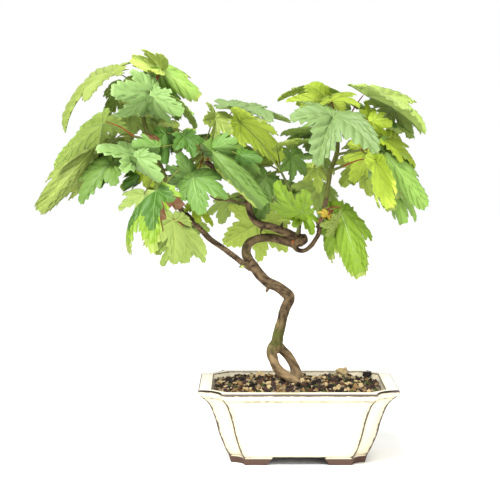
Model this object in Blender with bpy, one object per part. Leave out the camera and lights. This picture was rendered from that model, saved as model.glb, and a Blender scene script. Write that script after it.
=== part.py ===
"""Sycamore maple bonsai in a glazed pot.

Sizes are in millimetres. They are measured from the middle of the pot, at the
level its feet stand on: x to the right of the tree's front, y away from the
front, z up. The last step shifts the whole plant so that its box is centred.
"""

import math
import random

import bpy
import numpy as np
from mathutils.bvhtree import BVHTree

MM = 0.001
GAP = 0.3

POT_LENGTH = 160
POT_DEPTH = 120
POT_HEIGHT = 62
FOOT_HEIGHT = 7
FOOT_WIDTH = 14
RIM_WIDTH = 11
WALL = 5
FLOOR_TOP = 14
SOIL_EDGE = 59
TRUNK_CUT = 64
ARC_STEPS = 4

LIMB_SIDES = 8
STEM_SIDES = 5
TWIG_SIDES = 3
STEM_RADIUS = 1.3
PETIOLE_RADIUS = 0.65
PETIOLE_RISE = 0.07
BLADE_THICKNESS = 0.9
CLEAR_OF_LIMBS = 2.0
CLEAR_OF_LEAVES = 3.0
HIDE_WITHIN = 8.0
HIDDEN_SHARE = 0.82
STALKS = (12, 54)
BEHIND = 4
TRIES = 1500
VIEW_FROM = np.array((-38.7, -1236, 278))

# The middle of the plant's box, seen from the pot's middle.
BOX_CENTRE = (-53.3, 3.8)

# The pot's outside from the foot up: inset from the rim's edge, height, corner radius.
POT_PROFILE = (
    (26, 0, 11),
    (24, FOOT_HEIGHT, 12),
    (22, 11, 12),
    (17, 24, 13),
    (14, 36, 13.5),
    (11, 45, 14),
    (8, 51, 15),
    (3.5, 55.5, 17),
    (0.6, 58, 18.7),
    (0, 59.2, 19),
    (0, POT_HEIGHT - 0.8, 19),
    (0.8, POT_HEIGHT, 18.6),
)

# Each limb's route: x, y, z and radius, from its foot to its tip.
LEG_FRONT = (
    (1, -15.5, 57, 3.8),
    (-2, -13, 63.5, 3.4),
    (-7.5, -10, 67, 3.3),
    (-15, -6, 72, 3.4),
    (-19, -2, 79, 3.5),
    (-21, 2, 87, 3.9),
    (-17.5, 4, 94, 3.4),
)
LEG_BACK = (
    (1, 5, 57, 4.6),
    (0, 6, 64, 4.1),
    (-1.8, 9.5, 71.5, 3.6),
    (-7, 10.5, 81, 3.4),
    (-13, 9, 87.5, 3.5),
    (-16.5, 5, 93, 3.4),
)
TRUNK_FOOT = (
    (-18.5, 4, 86, 3.9),
    (-17, 3, 92, 4.7),
    (-15.8, 1, 100, 4.5),
    (-13, -2, 111, 4.1),
    (-10.8, -5, 121, 4.1),
    (-6.9, -7.8, 131.5, 4.5),
)
TRUNK_MIDDLE = (
    (-6.9, -7.8, 131.5, 4.5),
    (-11, -9, 137, 4.3),
    (-17, -9, 141, 4.2),
    (-24.5, -8, 144.5, 4.1),
    (-30.5, -6, 150, 4.1),
    (-35.5, -3, 156.5, 4.0),
    (-39.5, 0, 162, 3.9),
    (-42, 2, 168, 3.7),
)
TRUNK_ARCH = (
    (-42, 2, 168, 3.7),
    (-40.3, 4, 174, 3.5),
    (-35.5, 5, 177.5, 3.3),
    (-28.5, 6, 179.3, 3.2),
    (-19.5, 6, 179.2, 3.3),
    (-12, 5, 177.2, 3.5),
    (-3.5, 4, 175.6, 4.0),
    (3.5, 3, 177, 4.3),
)
BOUGH_RETURN = (
    (1, 3, 179, 3.6),
    (-6, 1, 182.5, 3.4),
    (-14, -2, 186, 3.2),
    (-22, -4, 189.3, 3.0),
    (-30, -6, 191, 2.9),
)
BOUGH_CENTRE = (
    (-30, -6, 191, 2.9),
    (-35, -6, 194.5, 2.7),
    (-39, -5, 202, 2.6),
    (-40.8, -3, 212, 2.6),
    (-46, 1, 220, 2.6),
    (-53, 4, 227, 2.6),
    (-64, 6, 234, 2.4),
    (-75, 6, 241.5, 2.2),
)
BOUGH_LEFT_LOWER = (
    (-38, -1, 155, 2.7),
    (-44.5, -5, 159.7, 2.4),
    (-60, -9, 172, 2.1),
    (-72, -12, 181, 2.1),
    (-85, -14, 195, 2.1),
    (-96, -14, 206, 2.2),
)
BOUGH_LEFT_UPPER = (
    (-96, -14, 206, 2.0),
    (-102, -12, 216, 1.8),
    (-105.5, -10, 224, 1.8),
    (-110.5, -6, 239, 1.7),
    (-116, -3, 253, 1.7),
    (-121.5, 0, 265, 1.7),
    (-126, 3, 280, 1.8),
)
BOUGH_RIGHT_LOWER = (
    (-3, 3, 174.5, 2.5),
    (0, 0, 170, 1.9),
    (5, -2, 169.5, 1.7),
    (10, -4, 173, 1.7),
    (14, -6, 178.5, 1.8),
    (17, -7, 185, 1.9),
    (19, -7, 194, 1.8),
    (21.3, -6, 204.5, 1.8),
    (23, -5, 212, 2.0),
)
BOUGH_RIGHT_UPPER = (
    (23, -5, 212, 2.0),
    (24.5, -4, 223.5, 1.9),
    (26, -3, 233.5, 1.9),
    (31.3, 2, 247, 1.8),
    (32.8, 6, 259, 1.6),
    (31.5, 8, 271, 1.5),
    (29, 8, 283, 1.4),
)
TWIG_DEAD = (
    (-40.5, -4, 208, 1.0),
    (-50, -8, 209.7, 0.8),
    (-58, -11, 211, 0.8),
    (-65, -14, 211.5, 0.7),
    (-71, -17, 215, 0.6),
)

# Limbs that follow one another on one smooth route.
LIMB_CHAINS = (
    (TRUNK_FOOT, TRUNK_MIDDLE, TRUNK_ARCH),
    (BOUGH_RETURN, BOUGH_CENTRE),
    (BOUGH_LEFT_LOWER, BOUGH_LEFT_UPPER),
    (BOUGH_RIGHT_LOWER, BOUGH_RIGHT_UPPER),
)

# Half of a leaf's outline, from the tip of its middle lobe round to the leaf stalk:
# degrees from the midrib, and reach as a share of the middle lobe's length.
LOBE_TIPS = ((0, 1.0), (54, 0.96), (108, 0.74))
NOTCHES = ((27, 0.62), (81, 0.56))
SHOULDERS = ((-13, 0.83), (0, 1.0), (13, 0.83))
POINTED = ((0, 1.0),)
WIDE_LOBES = 100
LEAF_BACK = (146, 0.38)
LEAF_FOOT = (180, 0.12)
MIDDLE_OF_LOBE = 0.5


def leaf(at, tip, face, curl=(30, 20, 12), lobes=(1, 1, 1, 1), shoulders=SHOULDERS):
    """One leaf: where its stalk joins the blade, from there to the middle lobe's
    tip, which way the upper side looks, its curl in degrees along the midrib,
    down at the sides, and up from the midrib's crease, and the reach of its four
    other lobes as shares of a common leaf's, from one side round to the other."""
    row = {"at": at, "tip": tip, "face": face, "lobes": lobes, "shoulders": shoulders}
    row["bend"], row["cup"], row["fold"] = curl
    return row


# Each shoot: its stem's route, the leaves that show from the front, and behind them
# as many leaves as the rule for the hidden side is to grow in the shoot's own space.
SHOOTS = {
    "foliage_crown_left": {
        "limbs": (BOUGH_LEFT_UPPER,),
        "stem": ((-126, 3, 280), (-123, 4, 288), (-117, 5, 297)),
        "leaves": (
            leaf((-111, 3, 316), (-24, 7, 9), (-0.53, 0.84, 0.07), (35, 48, -51), (1.07, 0.8, 0.86, 1.2)),
            leaf((-110, 3, 315), (31, -3, -22), (-0.27, -0.9, 0.35), (36, 47, -49), (0.7, 0.67, 1.01, 1.5)),
            leaf((-149, -4, 312), (-38, 3, -48), (-0.74, -0.25, 0.63), (63, 12, 1), (0.4, 0.73, 0.82, 0.66)),
            leaf((-116, -20, 296), (-32, -15, 3), (-0.04, -1, -0.07), (55, 34, -27), (1.06, 0.95, 0.69, 0.72)),
            leaf((-114, -30, 293), (24, -11, -12), (0.05, -0.97, -0.25), (22, 33, -31), (0.47, 0.53, 0.94, 1.5)),
            leaf((-136, 0, 294), (-9, 5, -5), (0.51, 0.8, 0.32), (43, 35, -26), (0.88, 0.92, 0.99, 1.25)),
        ),
        "space": ((-116, 34, 288), (56, 52, 50)),
        "hidden": 5,
        "seed": 3,
    },
    "foliage_left": {
        "limbs": (BOUGH_LEFT_UPPER,),
        "stem": ((-118.5, -2, 258), (-124, -4, 260), (-132, -6, 262)),
        "leaves": (
            leaf((-156, -16, 272), (-38, -1, -36), (-0.47, 0.41, 0.78), (16, 22, -4), (0.69, 0.53, 0.73, 0.72)),
            leaf((-166, 2, 251), (-42, -14, -49), (0.33, -0.89, 0.31), (69, 22, -65), (1.5, 0.63, 0.64, 0.63)),
        ),
        "space": ((-152, 30, 250), (50, 46, 46)),
        "hidden": 3,
        "seed": 5,
    },
    "foliage_left_inner": {
        "limbs": (BOUGH_LEFT_UPPER,),
        "stem": ((-108, -8, 231), (-112, -13, 234), (-118, -18, 240)),
        "leaves": (
            leaf((-129, -15, 245), (-32, -13, 6), (0.01, -0.62, 0.78), (34, 20, -6), (0.51, 0.75, 0.66, 1.19)),
            leaf((-127, -36, 245), (20, -8, -17), (-0.75, -0.58, 0.31), (27, 31, -40), (0.62, 0.69, 0.59, 1.18)),
            leaf((-148, -19, 240), (-24, -11, -32), (-0.43, -0.57, 0.7), (32, 28, -3), (0.4, 0.63, 0.89, 1.35)),
            leaf((-126, 6, 233), (-17, -6, -14), (0.27, -0.96, 0.07), (36, 56, -50), (1.19, 0.75, 0.74, 1.27)),
            leaf((-122, -1, 236), (3, 8, -18), (-0.16, -0.43, 0.89), (43, 29, -12), (0.83, 0.84, 1.17, 1)),
        ),
        "space": ((-120, 30, 222), (44, 40, 36)),
        "hidden": 2,
        "seed": 7,
    },
    "foliage_left_low": {
        "limbs": (BOUGH_LEFT_LOWER,),
        "stem": ((-82, -12, 189.5), (-88, -10, 189), (-92, -8, 190)),
        "leaves": (
            leaf((-101, -5, 194), (-1, 9, -37), (0.58, 0.8, 0.16), (37, 10, -1), (0.61, 1.01, 1.09, 0.75)),
        ),
        "space": ((-100, 30, 180), (38, 34, 40)),
        "hidden": 2,
        "seed": 2,
    },
    "foliage_centre": {
        "limbs": (BOUGH_CENTRE,),
        "stem": ((-75, 6, 241.5), (-76.5, 5, 246), (-76, 4, 250)),
        "leaves": (
            leaf((-112, -37, 220), (-20, -8, -49), (-0.93, -0.25, 0.25), (84, 30, -42), (0.62, 0.88, 0.5, 0.4)),
            leaf((-84, -24, 229), (8, -16, -28), (-0.23, -0.87, 0.43), (51, 34, -21), (1.2, 0.94, 0.7, 0.75)),
            leaf((-85, -11, 206), (16, 4, -17), (0.3, -0.41, 0.86), (30, 27, -5), (1, 1.06, 0.72, 0.64)),
            leaf((-85, -14, 230), (-11, -6, 19), (-0.01, -0.85, 0.53), (47, 40, -36), (1.47, 0.97, 0.64, 1)),
            leaf((-91, -26, 262), (8, -7, -17), (0.46, -0.77, 0.45), (32, 20, 10), (0.95, 0.87, 0.98, 0.69)),
            leaf((-106, -16, 264), (-1, -3, -24), (0.22, -0.89, 0.4), (25, 41, -48), (1.01, 0.83, 0.76, 0.87)),
            leaf((-113, -26, 254), (-19, -7, 3), (-0.06, -0.99, 0.1), (42, 32, -38), (0.7, 0.79, 0.77, 1.08)),
            leaf((-99, 2, 269), (-14, -4, 2), (-0.03, -0.98, 0.18), (38, 34, -37), (1.25, 0.79, 0.85, 1.04)),
            leaf((-67, -16, 276), (-4, -11, -22), (0.64, -0.77, 0.07), (33, 15, 28), (0.94, 0.76, 0.99, 0.89)),
            leaf((-50, 11, 282), (45, -4, -10), (0.13, -0.11, 0.99), (12, 26, 15), (1.29, 0.77, 1.25, 0.96)),
            leaf((-68, -36, 250), (41, -11, -41), (-0.63, -0.65, 0.42), (51, 32, -61), (0.88, 0.68, 0.47, 1)),
            leaf((-46, -48, 248), (17, -4, -4), (0.14, -0.99, 0.1), (35, 42, -46), (1.06, 0.78, 0.74, 0.89)),
            leaf((-65, -36, 254), (16, -3, 6), (0.11, -0.98, 0.17), (55, 43, -34), (1.32, 0.89, 1.25, 1)),
        ),
        "space": ((-78, 44, 252), (56, 52, 46)),
        "hidden": 6,
        "seed": 11,
    },
    "foliage_middle": {
        "limbs": (BOUGH_RETURN, TRUNK_ARCH),
        "stem": ((-1, 2.2, 180.4), (1, -4, 194), (-4, -3, 214), (-14, -1, 234)),
        "leaves": (
            leaf((-47, 2, 274), (35, 8, -33), (0.03, 0.86, 0.51), (49, 31, -37), (0.4, 0.43, 0.7, 1.5)),
            leaf((-16, -9, 253), (19, -6, 6), (0.02, 0.06, 1), (34, 25, 4), (0.86, 1.01, 1.09, 0.46)),
            leaf((-26, 9, 228), (-4, -11, -34), (-0.32, -0.85, 0.42), (38, 30, -22), (0.43, 0.6, 0.79, 1.4)),
            leaf((-7, -14, 246), (0, -2, -20), (0.75, -0.59, 0.29), (21, 23, 14), (1.13, 1.27, 1.08, 0.76)),
            leaf((2, -32, 203), (-19, -7, 26), (-0.73, -0.54, 0.42), (58, 25, -1), (1.31, 0.83, 0.8, 0.46)),
            leaf((2, -11, 201), (9, -8, -18), (0.53, -0.71, 0.47), (43, 26, -5), (1.34, 0.82, 0.83, 0.52)),
        ),
        "space": ((-20, 42, 228), (50, 50, 48)),
        "hidden": 6,
        "seed": 13,
    },
    "foliage_behind": {
        "limbs": (BOUGH_RETURN,),
        "stem": ((-28, -2, 192), (-30, 5, 193)),
        "leaves": (
            leaf((-34, 27, 188), (2, 12, -32), (0.59, 0.79, 0.15), (17, 15, 11), (1.25, 1.46, 1.06, 1.44)),
        ),
        "space": ((-42, 40, 186), (44, 38, 38)),
        "hidden": 1,
        "seed": 17,
    },
    "foliage_crown_right": {
        "limbs": (BOUGH_RIGHT_UPPER,),
        "stem": ((29, 8, 283), (27.5, 6, 289), (27, 4, 295)),
        "leaves": (
            leaf((27, -30, 277), (-14, -25, -39), (-0.07, -0.85, 0.52), (76, 45, 20), (0.67, 1.09, 0.76, 0.81)),
            leaf((26, 5, 290), (-36, -5, -2), (-0.09, 0.33, 0.94), (17, 21, 14), (0.4, 1.11, 0.96, 0.54)),
            leaf((26, -5, 290), (24, 5, -6), (0.16, 0.33, 0.93), (48, 22, 8), (1, 1.23, 0.99, 1.27)),
        ),
        "space": ((16, 40, 278), (54, 48, 42)),
        "hidden": 5,
        "seed": 19,
    },
    "foliage_top_right": {
        "limbs": (BOUGH_RIGHT_UPPER,),
        "stem": ((32, 6, 263), (37, 6, 269), (40, 5, 274)),
        "leaves": (
            leaf((56, 4, 294), (46, -17, -30), (0.51, -0.19, 0.84), (29, 14, 17), (0.72, 0.88, 1.48, 0.61)),
            leaf((58, 1, 276), (-5, 3, 14), (0.47, -0.49, 0.73), (30, 23, 3), (0.77, 0.89, 0.89, 0.74)),
            leaf((59, -10, 274), (16, -6, -2), (0.42, -0.9, -0.11), (38, 37, -30), (0.85, 0.73, 0.95, 1.03)),
        ),
        "space": ((66, 32, 276), (42, 42, 42)),
        "hidden": 3,
        "seed": 23,
    },
    "foliage_right": {
        "limbs": (BOUGH_RIGHT_UPPER,),
        "stem": ((31.3, 2, 247), (38, 2, 248.5), (51, 0, 251)),
        "leaves": (
            leaf((56, 7, 249), (-13, 8, -26), (0.51, 0.85, 0.13), (36, 34, -33), (0.89, 0.7, 0.81, 1.49)),
            leaf((69, -10, 250), (33, -9, -45), (-0.2, -0.97, 0.14), (49, 43, -61), (1.16, 0.61, 0.77, 1.5)),
            leaf((66, -1, 259), (29, 8, -24), (0.5, -0.35, 0.79), (19, 28, 12), (0.4, 1.35, 0.83, 0.7)),
            leaf((81, 11, 217), (5, -10, -26), (-0.28, -0.9, 0.34), (50, 47, -52), (1.49, 1.01, 0.81, 0.92)),
        ),
        "space": ((68, 34, 236), (46, 46, 46)),
        "hidden": 2,
        "seed": 29,
    },
    "foliage_right_front": {
        "limbs": (BOUGH_RIGHT_UPPER,),
        "stem": ((26, -3, 234), (31, -5, 236), (36, -7, 238)),
        "leaves": (
            leaf((61, -27, 242), (12, 3, -39), (-0.05, 0.96, 0.27), (46, 61, -55), (1.1, 0.91, 0.86, 0.64)),
        ),
        "space": ((60, 34, 210), (40, 38, 40)),
        "hidden": 0,
        "seed": 31,
    },
    "foliage_right_inner": {
        "limbs": (BOUGH_RIGHT_UPPER,),
        "stem": ((25, -3.4, 228.5), (21, 1, 235), (17, 8, 240)),
        "leaves": (
            leaf((14, 15, 236), (3, 2, -21), (0.58, 0.59, 0.56), (45, 26, -11), (0.65, 0.79, 0.78, 1.04)),
        ),
        "space": ((14, 40, 220), (38, 36, 36)),
        "hidden": 2,
        "seed": 37,
    },
    "foliage_right_low": {
        "limbs": (BOUGH_RIGHT_LOWER,),
        "stem": ((21, -6, 204), (24, -9, 204), (28, -11, 203)),
        "leaves": (
            leaf((34, -9, 202), (17, -11, -52), (-0.07, -0.96, 0.26), (59, 48, -40), (0.4, 0.6, 0.72, 0.9)),
            leaf((29, -19, 194), (-13, -8, -1), (-0.16, -0.91, -0.37), (37, 22, 10), (1.5, 0.92, 0.72, 1)),
            leaf((23, -18, 199), (-8, 0, 2), (0.04, -0.44, 0.9), (30, 20, 13), (1, 1.03, 1.02, 1)),
            leaf((23, -12, 198), (5, -3, -1), (-0.05, -0.76, 0.65), (31, 18, 17), (1, 0.98, 1, 1)),
        ),
        "space": ((36, 24, 182), (36, 34, 38)),
        "hidden": 0,
        "seed": 41,
    },
}


def unit(vector):
    return vector / np.linalg.norm(vector)


def smooth_route(rows, steps=2):
    """Points on a smooth curve through the rows, with whatever the rows hold after x, y, z."""
    rows = np.array(rows, float)
    ends = np.vstack([2 * rows[0] - rows[1], rows, 2 * rows[-1] - rows[-2]])
    points = []
    for i in range(len(rows) - 1):
        before, start, end, after = ends[i : i + 4]
        for step in range(steps):
            t = step / steps
            points.append(
                0.5
                * (
                    2 * start
                    + (end - before) * t
                    + (2 * before - 5 * start + 4 * end - after) * t**2
                    + (3 * start - before - 3 * end + after) * t**3
                )
            )
    points.append(rows[-1])
    return np.array(points)


def tube(route, sides=LIMB_SIDES, extra=0.0, directions=None):
    """A closed tapering tube along a route of x, y, z and radius: its points and faces."""
    places = route[:, :3]
    if directions is None:
        directions = np.gradient(places, axis=0)
    across = unit(np.cross(directions[0], (0.31, 0.95, 0.05)))
    points = []
    for place, direction, radius in zip(places, directions, route[:, 3] + extra):
        direction = unit(direction)
        across = unit(across - direction * across.dot(direction))
        other = np.cross(direction, across)
        for side in range(sides):
            turn = 2 * math.pi * side / sides
            points.append(
                place + radius * (math.cos(turn) * across + math.sin(turn) * other)
            )
    faces = [tuple(reversed(range(sides)))]
    for ring in range(len(places) - 1):
        first = ring * sides
        for side in range(sides):
            after = (side + 1) % sides
            faces.append(
                (first + side, first + after, first + sides + after, first + sides + side)
            )
    last = (len(places) - 1) * sides
    faces.append(tuple(range(last, last + sides)))
    return points, faces


def chain(*limbs, extra=0.0, longer=0.0):
    """Tubes that follow one another: their flat ends face each other a gap's width apart.
    A cutter is the same tube with extra radius and longer ends."""
    rows = list(limbs[0])
    for limb in limbs[1:]:
        rows += limb[1:]
    route = smooth_route(rows)
    directions = np.array([unit(way) for way in np.gradient(route[:, :3], axis=0)])
    tubes = []
    first = 0
    for i, limb in enumerate(limbs):
        last = first + 2 * (len(limb) - 1)
        part = route[first : last + 1].copy()
        part[0, :3] -= directions[first] * longer
        part[-1, :3] += directions[last] * longer
        if i < len(limbs) - 1:
            part[-1, :3] -= directions[last] * GAP
        tubes.append(tube(part, extra=extra, directions=directions[first : last + 1]))
        first = last
    return tubes


def cutters():
    """Each limb's cutter, which leaves a gap's width between the limb and what it cuts."""
    return {
        limb: shape
        for limbs in LIMB_CHAINS
        for limb, shape in zip(limbs, chain(*limbs, extra=GAP, longer=GAP))
    }


def flat_faces(faces):
    """The faces with each four-cornered one cut into two triangles, so that all are flat."""
    flat = []
    for face in faces:
        if len(face) == 4:
            a, b, c, d = face
            flat += [(a, b, c), (a, c, d)]
        else:
            flat.append(tuple(face))
    return flat


def make_object(name, shape, material=None):
    """An object in metres from points in millimetres and faces."""
    points, faces = shape
    faces = flat_faces(faces)
    mesh = bpy.data.meshes.new(name)
    mesh.from_pydata([tuple(float(v) * MM for v in p) for p in points], [], faces)
    mesh.validate()
    mesh.update()
    obj = bpy.data.objects.new(name, mesh)
    bpy.context.scene.collection.objects.link(obj)
    if material:
        mesh.materials.append(material)
    return obj


def apply_modifiers(obj):
    graph = bpy.context.evaluated_depsgraph_get()
    graph.update()
    finished = bpy.data.meshes.new_from_object(obj.evaluated_get(graph))
    obj.modifiers.clear()
    obj.data = finished


def boolean(obj, operation, shapes, solver="EXACT"):
    """Joins the shapes to the object, or cuts them from it, in one Boolean on a collection."""
    helpers = bpy.data.collections.new(f"{obj.name}_helpers")
    bpy.context.scene.collection.children.link(helpers)
    for i, shape in enumerate(shapes):
        helper = make_object(f"{obj.name}_helper_{i}", shape)
        bpy.context.scene.collection.objects.unlink(helper)
        helpers.objects.link(helper)
    modifier = obj.modifiers.new("join_or_cut", "BOOLEAN")
    modifier.operation = operation
    modifier.operand_type = "COLLECTION"
    modifier.collection = helpers
    modifier.solver = solver
    apply_modifiers(obj)
    for helper in list(helpers.objects):
        bpy.data.objects.remove(helper)
    bpy.data.collections.remove(helpers)


def material(name, colour, roughness):
    finish = bpy.data.materials.new(name)
    finish.use_nodes = True
    shader = finish.node_tree.nodes["Principled BSDF"]
    shader.inputs["Base Color"].default_value = (*colour, 1)
    shader.inputs["Roughness"].default_value = roughness
    finish.diffuse_color = (*colour, 1)
    return finish


def box_shape(low, high):
    """A box's eight corners and six faces."""
    x0, y0, z0 = low
    x1, y1, z1 = high
    points = [(x, y, z) for z in (z0, z1) for y in (y0, y1) for x in (x0, x1)]
    faces = [
        (0, 2, 3, 1),
        (4, 5, 7, 6),
        (0, 1, 5, 4),
        (2, 6, 7, 3),
        (0, 4, 6, 2),
        (1, 3, 7, 5),
    ]
    return points, faces


def indented_ring(inset, height, corner):
    """A rectangle with its corners scooped in by quarter circles, seen from above anticlockwise."""
    half_x = POT_LENGTH / 2 - inset
    half_y = POT_DEPTH / 2 - inset
    ring = []
    for quarter in range(4):
        turn = math.pi / 2 * quarter
        sign_x = 1 if quarter in (0, 3) else -1
        sign_y = 1 if quarter in (0, 1) else -1
        for step in range(ARC_STEPS + 1):
            angle = turn + math.pi * 1.5 - math.pi / 2 * step / ARC_STEPS
            x = sign_x * half_x + corner * math.cos(angle)
            y = sign_y * half_y + corner * math.sin(angle)
            ring.append((x, y, height))
    return ring


def opening_ring(inset, height, corner):
    """A rectangle with straight-cut corners, with as many points as the indented ring."""
    half_x = POT_LENGTH / 2 - inset
    half_y = POT_DEPTH / 2 - inset
    ring = []
    for sign_x, sign_y, x_first in ((1, 1, 1), (-1, 1, 0), (-1, -1, 1), (1, -1, 0)):
        on_side = (sign_x * half_x, sign_y * (half_y - corner))
        on_front = (sign_x * (half_x - corner), sign_y * half_y)
        start, end = (on_side, on_front) if x_first else (on_front, on_side)
        for step in range(ARC_STEPS + 1):
            t = step / ARC_STEPS
            ring.append(
                (
                    start[0] + (end[0] - start[0]) * t,
                    start[1] + (end[1] - start[1]) * t,
                    height,
                )
            )
    return ring


def lofted(rings):
    """Rings of equal length joined into one closed shape, its ends filled."""
    count = len(rings[0])
    points = [point for ring in rings for point in ring]
    faces = [tuple(reversed(range(count)))]
    for ring in range(len(rings) - 1):
        first = ring * count
        for i in range(count):
            after = (i + 1) % count
            faces.append((first + i, first + after, first + count + after, first + count + i))
    last = (len(rings) - 1) * count
    faces.append(tuple(range(last, last + count)))
    return points, faces


def inner_corner(height):
    """The opening's corner cut, which shrinks a little towards the floor."""
    return 13 - 4 * (POT_HEIGHT - height) / POT_HEIGHT


def inner_inset(height):
    """How far the inner wall stands in from the rim's edge."""
    heights = [row[1] for row in POT_PROFILE[:7]] + [POT_HEIGHT]
    insets = [row[0] + WALL for row in POT_PROFILE[:7]] + [RIM_WIDTH]
    return float(np.interp(height, heights, insets))


def inner_ring(height, gap=0.0):
    return opening_ring(inner_inset(height) + gap, height, inner_corner(height))


def make_pot(glaze):
    outside = [indented_ring(*row[:1], row[1], row[2]) for row in POT_PROFILE]
    inside = [inner_ring(height) for height in (POT_HEIGHT, 56, 45, 30, FLOOR_TOP)]
    pot = make_object("pot", lofted(outside + inside), glaze)
    half_x = POT_LENGTH / 2 - 26
    half_y = POT_DEPTH / 2 - 26
    hollow = box_shape(
        (-half_x + FOOT_WIDTH, -half_y + FOOT_WIDTH, -1),
        (half_x - FOOT_WIDTH, half_y - FOOT_WIDTH, FOOT_HEIGHT),
    )
    boolean(pot, "DIFFERENCE", [hollow, foot_gap(20, 26, POT_DEPTH, 0), foot_gap(9, 13, POT_LENGTH, 1)])
    return pot


def foot_gap(top, bottom, length, along_x):
    """The wide arch between two feet: a bar whose ends slope in towards the top."""
    outline = ((-bottom, -1), (bottom, -1), (top, FOOT_HEIGHT), (-top, FOOT_HEIGHT))
    rings = []
    for reach in (-length, length):
        if along_x:
            rings.append([(reach, across, height) for across, height in outline])
        else:
            rings.append([(-across, reach, height) for across, height in outline])
    return lofted(rings)


def make_soil(grit):
    """The soil fills the pot from its floor and rises to a low mound round the trunk."""
    rings = [inner_ring(height, GAP) for height in (FLOOR_TOP + GAP, 30, 45, 56, SOIL_EDGE)]
    edge = np.array(rings[-1])
    middle = np.array((-3, -3, TRUNK_CUT - GAP))
    for share, rise in ((0.66, 0.5), (0.2, 1.0)):
        ring = middle + (edge - middle) * share
        ring[:, 2] = SOIL_EDGE + (middle[2] - SOIL_EDGE) * rise
        rings.append([tuple(point) for point in ring])
    return make_object("soil", lofted(rings), grit)


def make_limbs(bark, green, cutter):
    """The trunk from its two legs to its knot, then the boughs, each a gap's width apart."""
    (foot, middle, arch), (back, centre), left, right = (chain(*limbs) for limbs in LIMB_CHAINS)
    trunk = make_object("trunk_foot", foot, bark)
    boolean(trunk, "UNION", [tube(smooth_route(leg)) for leg in (LEG_FRONT, LEG_BACK)])
    boolean(trunk, "DIFFERENCE", [box_shape((-60, -60, 30), (60, 60, TRUNK_CUT))])
    beside_knot = chain(*LIMB_CHAINS[0], extra=GAP, longer=GAP / 2)[0]
    limbs = (
        ("trunk_middle", middle, bark, beside_knot),
        ("trunk_arch", arch, bark, None),
        ("bough_return", back, bark, cutter[TRUNK_ARCH]),
        ("bough_centre", centre, bark, None),
        ("bough_left_lower", left[0], bark, cutter[TRUNK_MIDDLE]),
        ("bough_left_upper", left[1], green, None),
        ("bough_right_lower", right[0], bark, cutter[TRUNK_ARCH]),
        ("bough_right_upper", right[1], green, None),
        ("twig_dead", tube(smooth_route(TWIG_DEAD), STEM_SIDES), bark, cutter[BOUGH_CENTRE]),
    )
    for name, shape, finish, cut_by in limbs:
        limb = make_object(name, shape, finish)
        if cut_by:
            boolean(limb, "DIFFERENCE", [cut_by])


def blade_frame(row):
    """A leaf's stalk point, its three directions and its length, set so that the
    curled midrib still ends at the tip that the row gives."""
    chord = np.array(row["tip"], float)
    along = unit(chord)
    face = np.array(row["face"], float)
    face = unit(face - along * face.dot(along))
    half = math.radians(row["bend"]) / 2
    mid = along * math.cos(half) + face * math.sin(half)
    normal = face * math.cos(half) - along * math.sin(half)
    length = np.linalg.norm(chord) * half / math.sin(half)
    return np.array(row["at"], float), np.cross(mid, normal), mid, normal, length


def blade_points(row, marks, lift=0.0):
    """Points of the curled blade at marks of degrees and reach, lift millimetres above
    its middle surface."""
    origin, side, mid, normal, length = blade_frame(row)
    marks = np.array(marks, float)
    turns = np.radians(marks[:, 0])
    across = marks[:, 1] * np.sin(turns)
    along = marks[:, 1] * np.cos(turns)
    bend = math.radians(row["bend"])
    cup = math.radians(row["cup"])
    lean = math.radians(row["fold"]) - cup * np.abs(across)
    out_flat = (math.sin(math.radians(row["fold"])) - np.sin(lean)) / cup
    out_rise = (np.cos(lean) - math.cos(math.radians(row["fold"]))) / cup
    along_flat = np.sin(bend * along) / bend
    along_rise = (np.cos(bend * along) - 1) / bend
    places = (
        np.outer(np.copysign(out_flat, across), side)
        + np.outer(along_flat, mid)
        + np.outer(out_rise + along_rise, normal)
    )
    # On the midrib's crease the two halves' normals meet, so the lift there is longer.
    sides = np.sign(np.round(across, 6))
    local = (
        np.outer(-sides * np.sin(lean), side)
        + np.outer(np.sin(bend * along), mid)
        + np.outer(np.where(sides == 0, 1, np.cos(lean)), normal)
    )
    local /= np.linalg.norm(local, axis=1)[:, None]
    crease = 1 / math.cos(math.radians(row["fold"]))
    return origin + length * places + local * (np.where(sides == 0, crease, 1) * lift)[:, None]


def lobe_marks(row):
    """The five lobes' tips from one side round to the other, as degrees and reach."""
    shares = row["lobes"]
    marks = []
    for sign, pair in ((-1, (shares[0], shares[1])), (1, (shares[3], shares[2]))):
        for (degrees, reach), share in zip((LOBE_TIPS[2], LOBE_TIPS[1]), pair):
            marks.append((sign * degrees, reach * share))
    return sorted(marks + [LOBE_TIPS[0]])


def blade_outline(row):
    """The whole outline as degrees and reach, from the stalk round by the side of the
    positive angles, which is anticlockwise from above."""
    tips = lobe_marks(row)
    shares = list(row["lobes"][:2]) + [1] + list(row["lobes"][2:])
    outline = [(-LEAF_BACK[0], LEAF_BACK[1] * shares[0])]
    for i, (degrees, reach) in enumerate(tips):
        if i:
            notch = NOTCHES[0] if abs(degrees + tips[i - 1][0]) < 80 else NOTCHES[1]
            middle = (degrees + tips[i - 1][0]) / 2
            outline.append((middle, notch[1] * (shares[i] + shares[i - 1]) / 2))
        shoulders = POINTED if abs(degrees) > WIDE_LOBES else row["shoulders"]
        for turn, share in shoulders:
            outline.append((degrees + turn, reach * share))
    outline.append((LEAF_BACK[0], LEAF_BACK[1] * shares[4]))
    return [LEAF_FOOT] + outline[::-1]


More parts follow.
